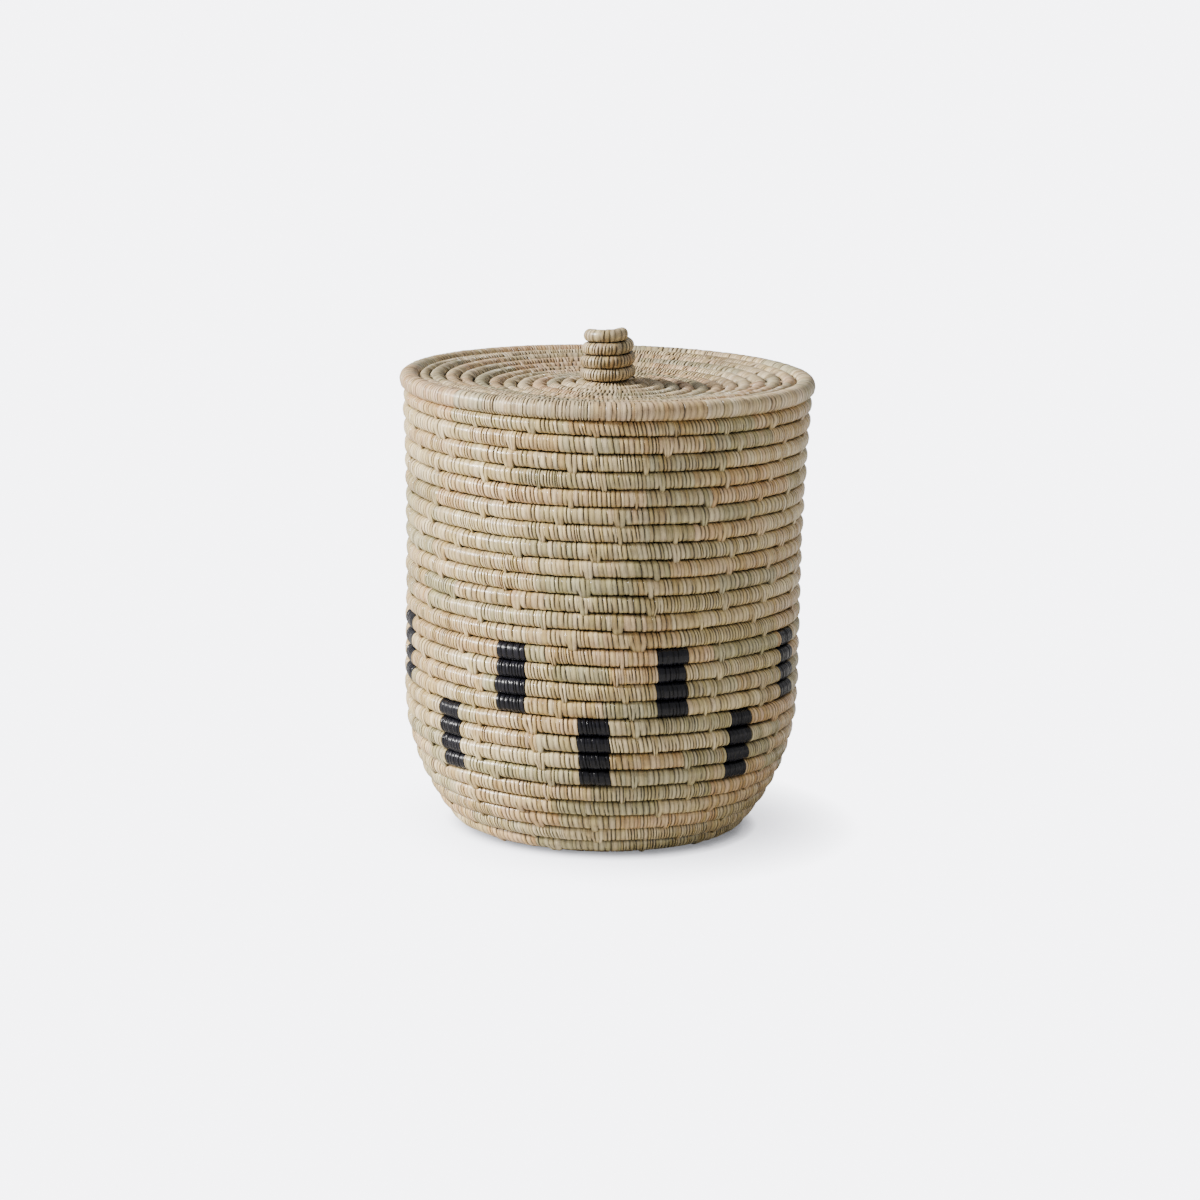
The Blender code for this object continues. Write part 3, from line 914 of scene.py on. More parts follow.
class Graph:
    """A short way to write shader nodes.

    Attributes:
        tree: The node tree that is written to.
    """

    def __init__(self, tree: bpy.types.NodeTree) -> None:
        """Keeps the tree."""
        self.tree = tree

    def node(self, kind: str, inputs: dict | None = None, **settings: object) -> bpy.types.Node:
        """Adds a node.

        Args:
            kind: The node's type.
            inputs: Values or sockets for its inputs, by name or number.
            **settings: Its settings.

        Returns:
            The node.
        """
        made = self.tree.nodes.new(kind)
        for name, value in settings.items():
            setattr(made, name, value)
        for key, value in (inputs or {}).items():
            if isinstance(value, bpy.types.NodeSocket):
                self.tree.links.new(value, made.inputs[key])
            else:
                made.inputs[key].default_value = value
        return made

    def maths(self, operation: str, *values: object) -> bpy.types.NodeSocket:
        """Returns the result of a sum on values or sockets."""
        return self.node("ShaderNodeMath", dict(enumerate(values)), operation=operation).outputs[0]

    def about_half(self, share: object, factor: object, usual: object) -> bpy.types.NodeSocket:
        """Returns a value that a share from 0 to 1 moves up and down.

        Args:
            share: The share, a half of which changes nothing.
            factor: How far it moves the value.
            usual: The value at a half.

        Returns:
            The value's socket.
        """
        return self.maths("MULTIPLY_ADD", self.maths("SUBTRACT", share, 0.5), factor, usual)

    def mix(self, share: object, first: object, second: object) -> bpy.types.NodeSocket:
        """Returns two colours mixed.

        Args:
            share: How much of the second.
            first: A colour or a socket.
            second: A colour or a socket.

        Returns:
            The mixed colour's socket.
        """
        settings = {"data_type": "RGBA", "blend_type": "MIX", "clamp_factor": True}
        return self.node("ShaderNodeMix", {0: share, 6: first, 7: second}, **settings).outputs[2]

    def stretched(self, vector: object, factors: tuple[float, float, float]) -> bpy.types.NodeSocket:
        """Returns a vector with each part times its factor."""
        return self.node("ShaderNodeVectorMath", {0: vector, 1: factors}, operation="MULTIPLY").outputs[0]

    def ramp(self, share: object, stops: Tones) -> bpy.types.NodeSocket:
        """Returns a colour from a ramp of stops."""
        made = self.node("ShaderNodeValToRGB", {0: share})
        marks = made.color_ramp.elements
        while len(marks) < len(stops):
            marks.new(0.5)
        for mark, (place, colour) in zip(marks, stops):
            mark.position, mark.color = place, colour
        return made.outputs[0]


def new_group(name: str, inputs: dict[str, tuple[str, object]], outputs: dict[str, str]) -> tuple:
    """Starts a shared node group.

    Args:
        name: The group's name.
        inputs: For each input, its socket type and its usual value.
        outputs: For each output, its socket type.

    Returns:
        The group, a graph to write it with, its input node and its output node.
    """
    group = bpy.data.node_groups.new(name, "ShaderNodeTree")
    for key, (kind, value) in inputs.items():
        socket = group.interface.new_socket(key, in_out="INPUT", socket_type=kind)
        if value is not None:
            socket.default_value = value
    for key, kind in outputs.items():
        group.interface.new_socket(key, in_out="OUTPUT", socket_type=kind)
    graph = Graph(group)
    return group, graph, graph.node("NodeGroupInput"), graph.node("NodeGroupOutput")


def fibre_group() -> bpy.types.NodeTree:
    """Returns the group that draws a leaf's fibres, which run round the bundle along each wrap."""
    name = "leaf_fibre"
    if name in bpy.data.node_groups:
        return bpy.data.node_groups[name]
    group, graph, given, result = new_group(
        name,
        {"Vector": ("NodeSocketVector", None), "Fineness": ("NodeSocketFloat", 1.0)},
        {"Streaks": "NodeSocketFloat", "Blotches": "NodeSocketFloat"},
    )
    by_fineness = {0: given.outputs["Vector"], 3: given.outputs["Fineness"]}
    scaled = graph.node("ShaderNodeVectorMath", by_fineness, operation="SCALE").outputs[0]
    for key, per_metre, detail, rough in (("Streaks", (2600.0, 130.0, 1.0), 3.0, 0.62),
                                          ("Blotches", (160.0, 90.0, 1.0), 4.0, 0.6)):
        vector = graph.stretched(scaled, per_metre)
        noise = {"Vector": vector, "Scale": 1.0, "Detail": detail, "Roughness": rough}
        graph.tree.links.new(graph.node("ShaderNodeTexNoise", noise).outputs[0], result.inputs[key])
    return group


def tone_and_shade_group() -> bpy.types.NodeTree:
    """Returns the group that varies a strip's tone in its fibres and paints shade into its colour in the cuts
    and between the rounds.
    """
    name = "strip_weathering"
    if name in bpy.data.node_groups:
        return bpy.data.node_groups[name]
    shares = {"Wrap": 0.5, "Streaks": 0.5, "Blotches": 0.5, "CutShade": 0.0, "ShadeBetween": 0.0, "Contrast": 1.0}
    group, graph, given, result = new_group(
        name,
        {
            "Colour": ("NodeSocketColor", (0.5, 0.4, 0.3, 1.0)),
            "Dark": ("NodeSocketColor", (0.05, 0.03, 0.02, 1.0)),
            **{key: ("NodeSocketFloat", value) for key, value in shares.items()},
        },
        {"Colour": "NodeSocketColor"},
    )
    hue_swing, dulling, most_saturation = 0.05, 0.25, 1.12
    # How softly the painted shade in a cut eases in, and the most painted shade between rounds.
    cut_softness, most_shade_between = 0.7, 0.97
    wrap, contrast, dark = (given.outputs[key] for key in ("Wrap", "Contrast", "Dark"))
    value = 1.0
    for key, strength in (("Wrap", 0.36), ("Streaks", 1.7), ("Blotches", 1.1)):
        value = graph.about_half(given.outputs[key], graph.maths("MULTIPLY", contrast, strength), value)
    tint = graph.node("ShaderNodeHueSaturation", {
        "Hue": graph.about_half(given.outputs["Blotches"], hue_swing, 0.5),
        "Saturation": graph.maths("MULTIPLY_ADD", wrap, -dulling, most_saturation),
        "Value": value, "Color": given.outputs["Colour"],
    })
    # Painted shade in the cuts, then painted shade between the rounds, over the strip's own tones.
    cut = graph.mix(graph.maths("POWER", given.outputs["CutShade"], cut_softness), tint.outputs[0], dark)
    between = graph.maths("MULTIPLY", given.outputs["ShadeBetween"], most_shade_between)
    graph.tree.links.new(graph.mix(between, cut, dark), result.inputs["Colour"])
    return group


@dataclass(frozen=True)
class Finish:
    """Leaf strip of one kind.

    Attributes:
        name: The material's name.
        slot: The record's material slot; not used.
        tones: The colours that strips have, as stops of a ramp.
        dark: The colour of the painted shade deep in a cut and between rounds.
        roughness: The roughness that the least and the greatest value of the fibres would give.
        contrast: How strongly wraps and fibres differ.
        fibre_height: How high the fibres stand.
        gloss: How strongly it mirrors; 0.5 is usual.
    """

    name: str
    slot: str
    tones: Tones
    dark: tuple[float, float, float, float]
    roughness: tuple[float, float]
    contrast: float = 1.0
    fibre_height: float = 0.00010
    gloss: float = 0.5

    def material(self) -> bpy.types.Material:
        """Returns the material, made at its first use."""
        if self.name in bpy.data.materials:
            return bpy.data.materials[self.name]
        material = bpy.data.materials.new(self.name)
        material.use_nodes = True
        graph = Graph(material.node_tree)
        shader = material.node_tree.nodes["Principled BSDF"]
        # The mesh's values: strip and wrap, the painted shade of the cuts, and in alpha the painted shade
        # between rounds.
        weave_and_shade = graph.node("ShaderNodeAttribute", attribute_name="weave_and_shade")
        strip, wrap, cut = graph.node("ShaderNodeSeparateColor", {0: weave_and_shade.outputs["Color"]}).outputs
        fibre = graph.node("ShaderNodeGroup", node_tree=fibre_group())
        graph.tree.links.new(graph.node("ShaderNodeUVMap", uv_map="strip").outputs[0], fibre.inputs["Vector"])
        streaks = fibre.outputs["Streaks"]
        toned = graph.node("ShaderNodeGroup", node_tree=tone_and_shade_group())
        sockets = {
            "Colour": graph.ramp(strip, self.tones), "Wrap": wrap, "Streaks": streaks,
            "Blotches": fibre.outputs["Blotches"], "CutShade": cut, "ShadeBetween": weave_and_shade.outputs["Alpha"],
        }
        for key, value in sockets.items():
            graph.tree.links.new(value, toned.inputs[key])
        toned.inputs["Dark"].default_value = self.dark
        toned.inputs["Contrast"].default_value = self.contrast
        graph.tree.links.new(toned.outputs["Colour"], shader.inputs["Base Color"])
        shader.inputs["Specular IOR Level"].default_value = self.gloss
        smooth, rough = self.roughness
        roughness = graph.maths("MULTIPLY_ADD", streaks, rough - smooth, smooth)
        graph.tree.links.new(roughness, shader.inputs["Roughness"])
        bump = {"Strength": 1.0, "Distance": self.fibre_height, "Height": streaks}
        graph.tree.links.new(graph.node("ShaderNodeBump", bump).outputs[0], shader.inputs["Normal"])
        return material


def tinted(tones: Tones, by: tuple[float, float, float]) -> Tones:
    """Returns the stops of a ramp with each channel times a factor."""
    return tuple((place, (*[c * f for c, f in zip(tone, by)], 1.0)) for place, tone in tones)


LEAF_TONES = (
    (0.00, (0.66, 0.490, 0.268, 1.0)), (0.10, (0.80, 0.630, 0.380, 1.0)), (0.20, (0.60, 0.465, 0.255, 1.0)),
    (0.31, (0.48, 0.422, 0.252, 1.0)), (0.43, (0.68, 0.500, 0.275, 1.0)), (0.54, (0.73, 0.475, 0.262, 1.0)),
    (0.63, (0.58, 0.412, 0.215, 1.0)), (0.72, (0.46, 0.400, 0.246, 1.0)), (0.82, (0.76, 0.578, 0.338, 1.0)),
    (0.91, (0.64, 0.430, 0.228, 1.0)), (1.00, (0.68, 0.528, 0.302, 1.0)),
)
WALL_TONES = tinted(LEAF_TONES, (1.0, 1.0, 0.88))
# The same leaf, darker, for the lid's coils but the rim: painted shade.
LID_SHADED_TONES = tinted(LEAF_TONES, (0.86, 0.86, 0.86))
DYED_TONES = (
    (0.0, (0.006, 0.006, 0.010, 1.0)), (0.5, (0.009, 0.0085, 0.014, 1.0)), (1.0, (0.004, 0.004, 0.007, 1.0)),
)
# The colours of the painted shade in the cuts and between rounds, on plain and on dyed leaf.
SHADE_DARK = (0.012, 0.0070, 0.0035, 1.0)
DYED_SHADE_DARK = (0.001, 0.001, 0.0015, 1.0)
PLAIN = Finish("undyed_wrapping", "leaf_strip", WALL_TONES, SHADE_DARK, (-0.30, 0.94), gloss=0.62)
RIM_PLAIN = Finish("rim_wrapping", "lid_leaf_strip", LEAF_TONES, SHADE_DARK, (-0.20, 0.96), gloss=0.55)
LID_PLAIN = Finish("lid_shaded_wrapping", "lid_leaf_strip", LID_SHADED_TONES, SHADE_DARK, (-0.15, 1.0))
DYED = Finish("dyed_wrapping", "dyed_strip", DYED_TONES, DYED_SHADE_DARK, (-0.30, 0.90), 0.9, gloss=0.34)


@dataclass
class Basket:
    """The basket: one coil from the middle of the base to the mouth, and the dyed marks on it."""

    height: float = 0.3147
    wall_radius: float = 0.1414
    shoulder_radius: float = 0.0206
    shoulder_turn_deg: float = 51.2
    side_bend_radius: float = 0.154
    mouth_spread: float = 0.0046
    spread_height: float = 0.180
    coil: float = 0.01185
    wall_depth: float = 0.00675
    base_depth: float = 0.0052
    level_from: float = 0.2
    level_ease: float = 0.7
    wander: float = 0.0007
    centre_radius: float = 0.0092
    centre_sink: float = 0.0030
    joints_reach: float = 0.100
    joints_spare: float = 0.001
    mark_width: float = 0.0215
    mark_rounds: int = 4
    mark_raggedness: float = 0.0007
    unstitched_share: float = 0.8
    upper_first_round: int = 14
    lower_first_round: int = 18
    upper_azimuths: tuple[float, ...] = (-129.0, -77.5, -26.5, 20.5, 68.0, 121.0, 176.0)
    lower_azimuths: tuple[float, ...] = (-157.0, -104.0, -49.0, -1.6, 44.5, 95.0, 149.0)

    def section(self) -> Section:
        """Returns the section of the base, the shoulder, the bend of the side and the spreading wall."""
        half = self.coil / 2
        wall = self.wall_radius - half / math.cos(math.pi / 6)
        turn = math.radians(self.shoulder_turn_deg)
        tight, wide = self.shoulder_radius - half, self.side_bend_radius - half
        foot = wall - tight * math.sin(turn) - wide * (1 - math.sin(turn))
        low = np.linspace(0, turn, 15)[1:]
        high = np.linspace(turn, math.pi / 2, 15)[1:]
        r_low, z_low = foot + tight * np.sin(low), half + tight * (1 - np.cos(low))
        r_high = r_low[-1] + wide * (np.sin(high) - math.sin(turn))
        z_high = z_low[-1] + wide * (math.cos(turn) - np.cos(high))
        share = np.linspace(0, 1, 9)
        radius = np.concatenate([[0, foot], r_low, r_high, wall + self.mouth_spread * share**2])
        upper = self.spread_height + (self.height - self.spread_height) * share
        height = np.concatenate([[half, half], z_low, z_high, upper])
        return Section(np.stack([radius, height], axis=1))

    def build(self) -> None:
        """Wraps the coil and adds its pieces."""
        winding = Winding(self.section(), self.coil)
        first, last = winding.first_turn(), winding.last_turn()
        run = winding.run(first, last, 1.0, self.wall_depth, self.wander, Draw.BASKET_SWAY)
        self._thin_base(run)
        winding.widen_start(run, first, last)
        turns = np.linspace(first, last, len(run.distance))
        spans, plain = self._mark_spans(winding, run, turns)
        splice_turn = winding.top + 1 - self.lower_first_round - self.mark_rounds + 0.5
        splice = float(np.interp(splice_turn, turns, run.distance))
        mark_edges = [edge for mark in spans.values() for pair in mark for edge in pair]
        breaks = tuple(sorted([splice, *mark_edges]))
        wraps = Wrapping(run, WrapStyle(), Draw.BASKET_STRIPS, breaks, tuple(plain))
        taken = []
        for node, pairs in spans.items():
            cuts = [(wraps.nearest(a), wraps.nearest(b)) for a, b in pairs]
            taken += cuts
            stretches = [wraps.rings(a, b) for a, b in cuts]
            Skin(node.replace("dyed_mark", "mark_wraps"), stretches, bands=4).add(Part.BASKET, DYED, node)
        splice_edge = wraps.nearest(splice)
        self._plain(wraps, sorted(taken), 0, splice_edge, "base")
        self._plain(wraps, sorted(taken), splice_edge, len(wraps.edges) - 1, "wall")
        post = post_run(self.centre_sink, self.coil - self.centre_sink, self.centre_radius)
        centre = Wrapping(post, WrapStyle(stitch_every=UNSTITCHED), Draw.BASE_CENTRE).whole()
        Skin("base_centre", [centre]).add(Part.BASKET, PLAIN, "base_coil")
        # A dark dish in the base's joints, painted shade all over.
        joints = shaded_joint_rings(winding.section, self.joints_reach, self.joints_spare)
        Skin("base_joint_shade", [joints]).add(Part.BASKET, PLAIN, "base_coil")

    def _thin_base(self, run: Run) -> None:
        """Makes the bundle as deep as the base allows where it lies flat, and deeper on the wall."""
        level = eased((run.face @ -UP - self.level_from) / self.level_ease)
        run.deep *= 1 - (1 - self.base_depth / self.wall_depth) * level

    def _mark_spans(self, winding: Winding, run: Run, turns: np.ndarray) -> tuple[dict, list]:
        """Returns where the dyed marks lie.

        Args:
            winding: The coil.
            run: The coil's samples.
            turns: The turn of each sample.

        Returns:
            For each mark's node, the stretch of bundle on each of its rounds, and the stretches, a little
            longer, that have no stitches.
        """
        def along(turn: float) -> float:
            """Returns how far along the bundle a turn is."""
            return float(np.interp(turn, turns, run.distance))

        spans, plain = {}, []
        rng = np.random.default_rng(Draw.MARK_EDGES)
        width = self.mark_width / (TAU * (self.wall_radius - self.coil / 2))
        bare = self.unstitched_share * width
        for band, azimuths, top in (("upper", self.upper_azimuths, self.upper_first_round),
                                    ("lower", self.lower_azimuths, self.lower_first_round)):
            for number, azimuth in enumerate(azimuths, start=1):
                middles = [winding.top + 1 - top - k - azimuth / 360 for k in range(self.mark_rounds)]
                pairs = [(along(m - width / 2), along(m + width / 2)) for m in middles]
                plain += [(along(m - bare), along(m + bare)) for m in (middles[0] + 1, *middles)]
                ragged = rng.normal(0, self.mark_raggedness, (len(pairs), 2))
                span = [(a + i, b + j) for (a, b), (i, j) in zip(pairs, ragged)]
                spans[f"{band}_dyed_mark_{number}"] = span
        return spans, plain

    def _plain(self, wraps: Wrapping, taken: list[tuple[int, int]], first: int, last: int, name: str) -> None:
        """Adds the plain wraps between the marks.

        Args:
            wraps: The whole coil's wraps.
            taken: The wraps that the marks have.
            first: The wrap edge that the stretch starts at.
            last: The wrap edge that it ends at.
            name: The start of the pieces' names and of the node's.
        """
        for number, (start, end) in enumerate(portions(first, last), start=1):
            cuts = [start]
            for a, b in taken:
                low, high = max(a, start), min(b, end)
                if low < high:
                    cuts += [low, high]
            cuts.append(end)
            stretches = [wraps.rings(a, b) for a, b in zip(cuts[::2], cuts[1::2]) if b > a]
            Skin(f"{name}_wraps_{number}", stretches).add(Part.BASKET, PLAIN, f"{name}_coil")


DISC_STYLE = WrapStyle(
    width=0.0027, gap_depth=0.0014, open_share=0.7, mouth_share=1.5, stitch_every=(0.024, 0.048),
    fullness=2.0)
RIM_STYLE = WrapStyle(stitch_every=UNSTITCHED, lean=0.0006)
LIP_STYLE = WrapStyle(stitch_every=UNSTITCHED)
KNOB_STYLE = WrapStyle(
    width=0.0023, crown=0.00008, gap_depth=0.0010, open_share=0.75, stitch_every=UNSTITCHED, lean=0.0005,
    fullness=2.0)


@dataclass
class Lid:
    """The lid: its dished spiral, its rim, the round that drops into the mouth, and the knob.

    It rests on the basket, which gives its height and the width of the mouth that the lip fits.
    """

    basket: Basket
    radius: float = 0.1477
    seat_gap: float = 0.0003
    lip_clearance: float = 0.0035
    rim_coil: float = 0.0130
    rim_half_size: tuple[float, float] = (0.0064, 0.0067)
    coil: float = 0.0099
    depth: float = 0.0054
    wander: float = 0.0006
    lip_coil: float = 0.0090
    lip_half_size: tuple[float, float] = (0.0044, 0.0045)
    lip_inner_step: float = 0.002
    valley_radius: float = 0.068
    edge_rise: float = 0.0075
    centre_rise: float = 0.0035
    centre_radius: float = 0.0050
    centre_half_height: float = 0.0035
    joints_spare: float = 0.005
    round_gap: float = 0.0005
    knob_coil: float = 0.0087
    knob_radius: float = 0.0200
    knob_top_radius: float = 0.0175
    knob_taper_rounds: int = 2
    knob_rounds: int = 4
    knob_levelling: float = 0.5
    knob_end_turn: float = -0.15
    knob_curl_turns: float = 0.8
    knob_curl_sink: float = 0.0035
    knob_curl_sink_turns: float = 0.4
    knob_swell: tuple[float, float] = (1.03, 1.05)
    knob_thinnest: float = 0.0012
    knob_curl_start: float = 0.0025
    knob_core_radius: float = 0.0100
    knob_core_rise: float = 0.001
    knob_curl_core_radius: float = 0.0055
    knob_curl_core_rise: float = 0.0045
    rim_join_deg: float = 155.0
    lip_join_deg: float = -150.0

    def section(self) -> Section:
        """Returns the section of the disc: a shallow dish with a raised centre."""
        self.rim_height = self.basket.height + self.seat_gap + self.rim_coil / 2
        self.rim_middle = self.radius - self.rim_coil / 2 / math.cos(math.pi / 8)
        disc = self.rim_middle - self.rim_coil / 2 - self.round_gap
        radius = np.linspace(0, disc, 120)
        valley = self.rim_height - self.edge_rise
        outer = self.edge_rise * eased((radius - self.valley_radius) / (disc - self.valley_radius))
        inner = self.centre_rise * eased(1 - radius / self.valley_radius)
        height = valley + np.where(radius > self.valley_radius, outer, inner)
        self.centre_height = float(height[0])
        self.knob_seat = self.centre_height + self.coil / 2 / math.cos(math.pi / 6) + self.seat_gap
        return Section(np.stack([radius, height], axis=1))

    def build(self) -> None:
        """Wraps the lid's coils and adds their pieces."""
        winding = Winding(self.section(), self.coil)
        first, last = winding.first_turn(), winding.last_turn()
        disc = winding.run(first, last, -1.0, self.depth, self.wander, Draw.DISC_SWAY)
        winding.widen_start(disc, first, last)
        rim = level_run(self.rim_middle, self.rim_height, *self.rim_half_size, self.rim_join_deg)
        top = self.knob_seat + (self.knob_coil + self.round_gap) * (self.knob_rounds - 1)
        core = post_run(self.knob_seat, top + self.knob_core_rise, self.knob_core_radius)
        curl_core = post_run(top, top + self.knob_curl_core_rise, self.knob_curl_core_radius)
        low, high = (self.centre_height + k * self.centre_half_height for k in (-1, 1))
        centre = post_run(low, high, self.centre_radius)
        lip, knob = self._lip_run(winding.section), self._knob_run()
        for name, run, style, draw, node, finish in (
            ("lid_disc", disc, DISC_STYLE, Draw.DISC_STRIPS, "lid_disc_coil", LID_PLAIN),
            ("lid_rim", rim, RIM_STYLE, Draw.RIM_STRIPS, "lid_rim_coil", RIM_PLAIN),
            ("lid_lip", lip, LIP_STYLE, Draw.LIP_STRIPS, "lid_lip_coil", LID_PLAIN),
            ("knob", knob, KNOB_STYLE, Draw.KNOB_STRIPS, "knob_coil", LID_PLAIN),
            ("knob_core", core, KNOB_STYLE, Draw.KNOB_CORE, "knob_coil", LID_PLAIN),
            ("knob_curl_core", curl_core, KNOB_STYLE, Draw.KNOB_CURL_CORE, "knob_coil", LID_PLAIN),
            ("lid_centre", centre, KNOB_STYLE, Draw.LID_CENTRE, "lid_disc_coil", LID_PLAIN),
        ):
            self._add(name, Wrapping(run, style, draw), node, finish)
        # A dark dish in the lid's joints, painted shade all over.
        joints = shaded_joint_rings(winding.section, winding.section.length, self.joints_spare)
        Skin("lid_joint_shade", [joints]).add(Part.LID, LID_PLAIN, "lid_disc_coil")

    def _add(self, name: str, wraps: Wrapping, node: str, finish: Finish) -> None:
        """Adds one coil's wraps.

        Args:
            name: The start of the pieces' names.
            wraps: The wraps.
            node: The CAD node that they stand for.
            finish: Their finish.
        """
        parts = portions(0, len(wraps.edges) - 1)
        for number, (start, end) in enumerate(parts, start=1):
            label = f"{name}_wraps_{number}" if len(parts) > 1 else f"{name}_wraps"
            Skin(label, [wraps.rings(start, end)]).add(Part.LID, finish, node)

    def _lip_run(self, section: Section) -> Run:
        """Returns the bundle of the round under the disc, which fits the mouth with some room."""
        mouth = self.basket.wall_radius + self.basket.mouth_spread - self.basket.coil / math.cos(math.pi / 6)
        reach = mouth - self.lip_clearance - self.lip_coil / 2 / math.cos(math.pi / 8)
        inner = reach - self.lip_inner_step
        under = float(np.interp(inner, *section.points.T)) - self.coil / 2 / math.cos(math.pi / 6)
        height = under - self.seat_gap - self.lip_coil / 2
        return level_run(reach, height, *self.lip_half_size, self.lip_join_deg)

    def _knob_climbed(self, turn: np.ndarray) -> np.ndarray:
        """Returns how many pitches down the knob's bundle is after a number of turns past the front."""
        return turn - self.knob_levelling * np.sin(TAU * turn) / TAU

    def _knob_run(self) -> Run:
        """Returns the knob's bundle: a curl sunk in the top round, then down to the disc, where it thins."""
        half = self.knob_coil / 2
        pitch = self.knob_coil + self.round_gap
        seat = self.knob_seat
        first, end = self.knob_end_turn - self.knob_curl_turns, self.knob_end_turn
        turn = np.arange(first, self.knob_rounds + 0.5, 0.005)
        down = self._knob_climbed(np.maximum(turn, end))
        room = pitch * (self.knob_rounds - down) - self.round_gap
        turn, down, room = (v[room > self.knob_thinnest] for v in (turn, down, room))
        share = np.clip(down / self.knob_taper_rounds, 0, 1)
        taper = (self.knob_radius - self.knob_top_radius) * share
        radius = self.knob_top_radius + taper - half / math.cos(math.pi / 8)
        height = seat + half + pitch * (self.knob_rounds - 1 - down)
        begun = np.clip((turn - first) / self.knob_curl_turns, 0, 1)
        size = self.knob_curl_start + (half - self.knob_curl_start) * begun
        sunk = self.knob_curl_sink * eased((end - turn) / self.knob_curl_sink_turns)
        above = pitch * (1 + self._knob_climbed(turn) - self._knob_climbed(end)) - sunk
        curl = np.sqrt(np.maximum(0, (size + half + self.round_gap) ** 2 - above**2))
        radius = np.where(turn < end, radius - curl, radius)
        height = np.where(turn < end, height - sunk, height)
        ending = down > self.knob_rounds - 1
        size = np.where(ending, room / 2, size)
        height = np.where(ending, seat + size, height)
        radius = np.where(ending, radius + half - size, radius)
        outward, along = outward_at(-TAU * turn), clockwise_at(-TAU * turn)
        centre = outward * radius[:, None] + UP * height[:, None]
        top_round, last_round = 1.0 * (turn < end + 1), 1.0 * (turn > self.knob_rounds - 1)
        deep, tall = (share * size for share in self.knob_swell)
        return Run(centre, outward, -UP + 0 * outward, along, deep, tall, top_round, last_round)


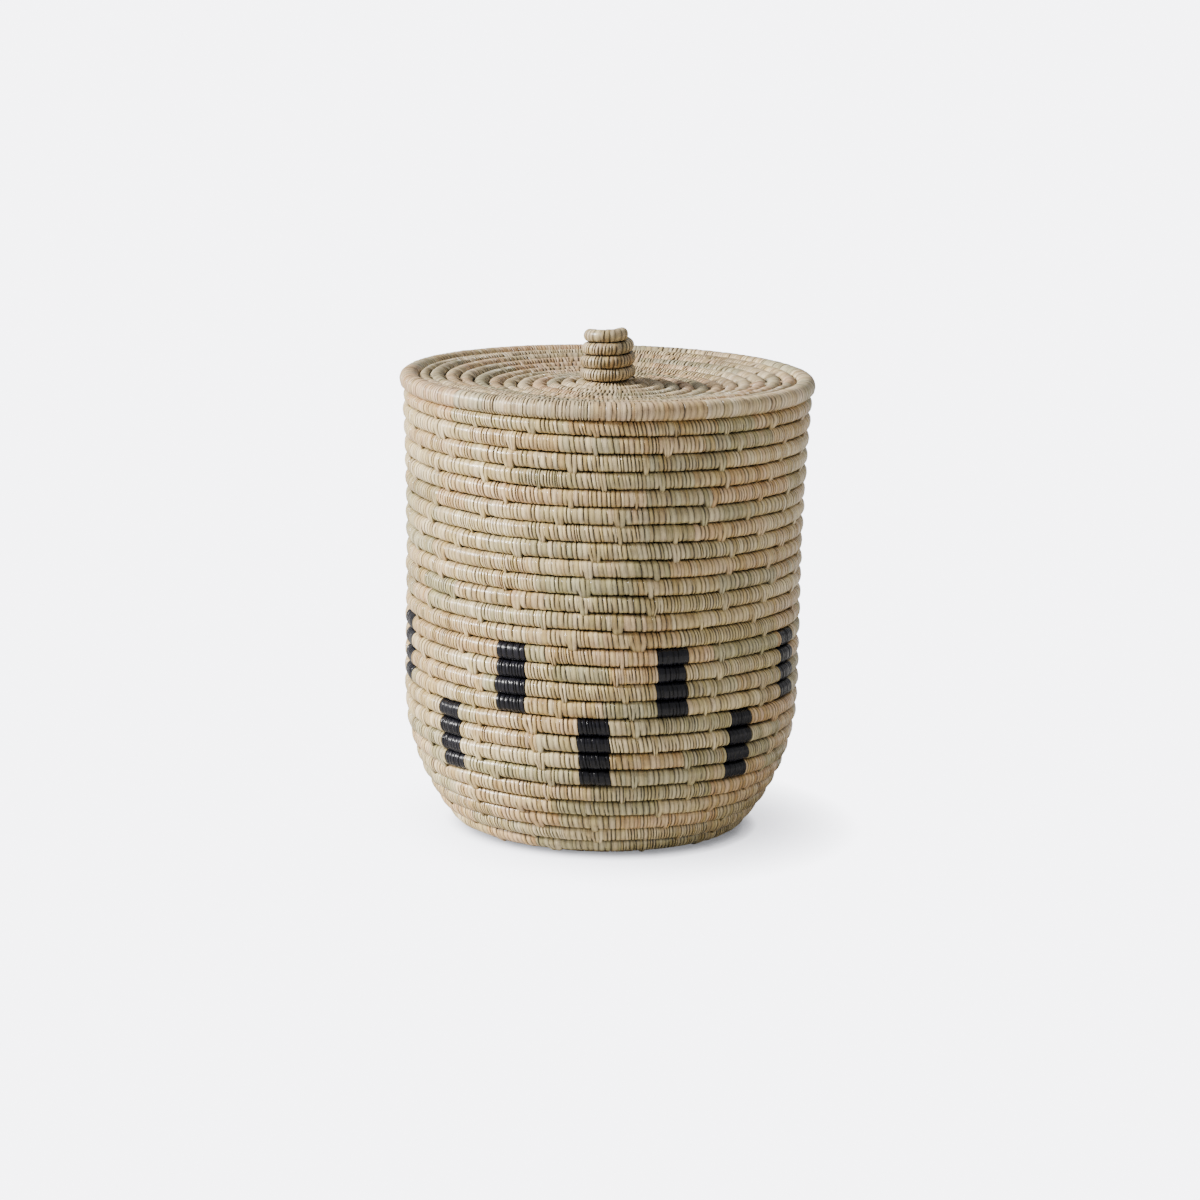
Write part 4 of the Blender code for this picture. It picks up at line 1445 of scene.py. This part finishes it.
@dataclass
class Studio:
    """The floor, the light and the camera at the photograph's view."""

    distance: float = 2.9416
    eye_height: float = 0.7575
    aim: tuple[float, float] = (-0.0022, 0.1628)
    roll: float = 0.0203
    focal_share: float = 4183.6 / 1200.0
    sensor_width_mm: float = 36.0
    far_clip: float = 200.0
    sun_azimuth: float = -81.0
    sun_elevation: float = 27.0
    sun_spread: float = 16.0
    sun_strength: float = 9.45
    sun_colour: tuple[float, float, float] = (1.0, 0.985, 0.96)
    sky_strength: float = 0.46
    floor_size: float = 80.0
    floor_bounce: float = 0.60
    bounce_tint: tuple[float, float, float] = (1.0, 0.98, 0.95)
    floor_glow: float = 6.2
    glow_colour: tuple[float, float, float, float] = (1.0, 1.0, 1.06, 1.0)
    shadow_reach: float = 0.075
    shadow_samples: int = 12
    shadow_lean: float = 1.4
    shadow_side_share: float = 0.2
    contact_reach: float = 0.012
    contact_samples: int = 8
    contact_strength: float = 1.5

    def build(self) -> None:
        """Adds the floor, the light and the camera."""
        self._floor()
        self._light()
        self._camera()

    def _floor(self) -> None:
        """Adds the pale floor, which the camera sees as an even glow but for a painted shadow round the
        basket's foot.
        """
        bpy.ops.mesh.primitive_plane_add(size=self.floor_size, location=(0.0, 0.0, 0.0))
        floor = bpy.context.object
        floor.name = "floor"
        material = bpy.data.materials.new("pale_floor")
        material.use_nodes = True
        nodes = material.node_tree
        nodes.nodes.remove(nodes.nodes["Principled BSDF"])
        graph = Graph(nodes)
        # Painted shadow: the floor's glow dims with how much of the basket is near, seen along a normal leaning
        # towards the lamp, and more in a tight contact shadow at the foot.
        away = (-self.shadow_lean, -self.shadow_side_share * self.shadow_lean, 1.0)
        lean = graph.node("ShaderNodeVectorMath", {0: away}, operation="NORMALIZE").outputs[0]
        near, touch = (
            graph.node("ShaderNodeAmbientOcclusion", {"Distance": reach, "Normal": lean}, samples=samples)
            for reach, samples in ((self.shadow_reach, self.shadow_samples),
                                   (self.contact_reach, self.contact_samples))
        )
        contact = graph.maths("POWER", touch.outputs["AO"], self.contact_strength)
        open_share = graph.maths("MULTIPLY", near.outputs["AO"], contact)
        glow = graph.maths("MULTIPLY", open_share, self.floor_glow)
        seen = graph.node("ShaderNodeEmission", {"Color": self.glow_colour, "Strength": glow})
        bounce = (*[self.floor_bounce * tint for tint in self.bounce_tint], 1.0)
        dim = graph.node("ShaderNodeBsdfDiffuse", {"Color": bounce})
        path = graph.node("ShaderNodeLightPath")
        by_path = {0: path.outputs["Is Camera Ray"], 1: dim.outputs[0], 2: seen.outputs[0]}
        mixed = graph.node("ShaderNodeMixShader", by_path)
        nodes.links.new(mixed.outputs[0], nodes.nodes["Material Output"].inputs["Surface"])
        floor.data.materials.append(material)

    def _light(self) -> None:
        """Adds an even sky and one broad lamp from the left."""
        world = bpy.data.worlds.new("studio")
        bpy.context.scene.world = world
        world.use_nodes = True
        sky = world.node_tree.nodes["Background"]
        sky.inputs["Color"].default_value = (1.0, 1.0, 1.0, 1.0)
        sky.inputs["Strength"].default_value = self.sky_strength
        lamp = bpy.data.lights.new("window", "SUN")
        lamp.energy = self.sun_strength
        lamp.angle = math.radians(self.sun_spread)
        lamp.color = self.sun_colour
        window = bpy.data.objects.new("window", lamp)
        bpy.context.scene.collection.objects.link(window)
        azimuth, elevation = math.radians(self.sun_azimuth), math.radians(self.sun_elevation)
        level = math.cos(elevation)
        to_lamp = Vector((math.sin(azimuth) * level, -math.cos(azimuth) * level, math.sin(elevation)))
        window.rotation_euler = to_lamp.to_track_quat("Z", "Y").to_euler()

    def _camera(self) -> None:
        """Adds the camera."""
        lens = bpy.data.cameras.new("camera")
        lens.sensor_width = self.sensor_width_mm
        lens.lens = self.focal_share * lens.sensor_width
        lens.clip_end = self.far_clip
        camera = bpy.data.objects.new("camera", lens)
        bpy.context.scene.collection.objects.link(camera)
        bpy.context.scene.camera = camera
        pitch = math.atan2(self.eye_height - self.aim[1], self.distance)
        ahead = Vector((0.0, math.cos(pitch), -math.sin(pitch)))
        upward = Vector((0.0, math.sin(pitch), math.cos(pitch)))
        right = Vector((1.0, 0.0, 0.0))
        side = right * math.cos(self.roll) + upward * math.sin(self.roll)
        top = upward * math.cos(self.roll) - right * math.sin(self.roll)
        turned = Matrix((side, top, -ahead)).transposed().to_4x4()
        camera.matrix_world = Matrix.Translation((self.aim[0], -self.distance, self.eye_height)) @ turned


def main() -> None:
    """Builds the basket, the lid and the studio, and writes down how much room they take."""
    logging.basicConfig(level=logging.INFO, format="%(name)s: %(message)s")
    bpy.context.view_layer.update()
    basket = Basket()
    basket.build()
    Lid(basket).build()
    Studio().build()


if __name__ == "__main__":
    main()
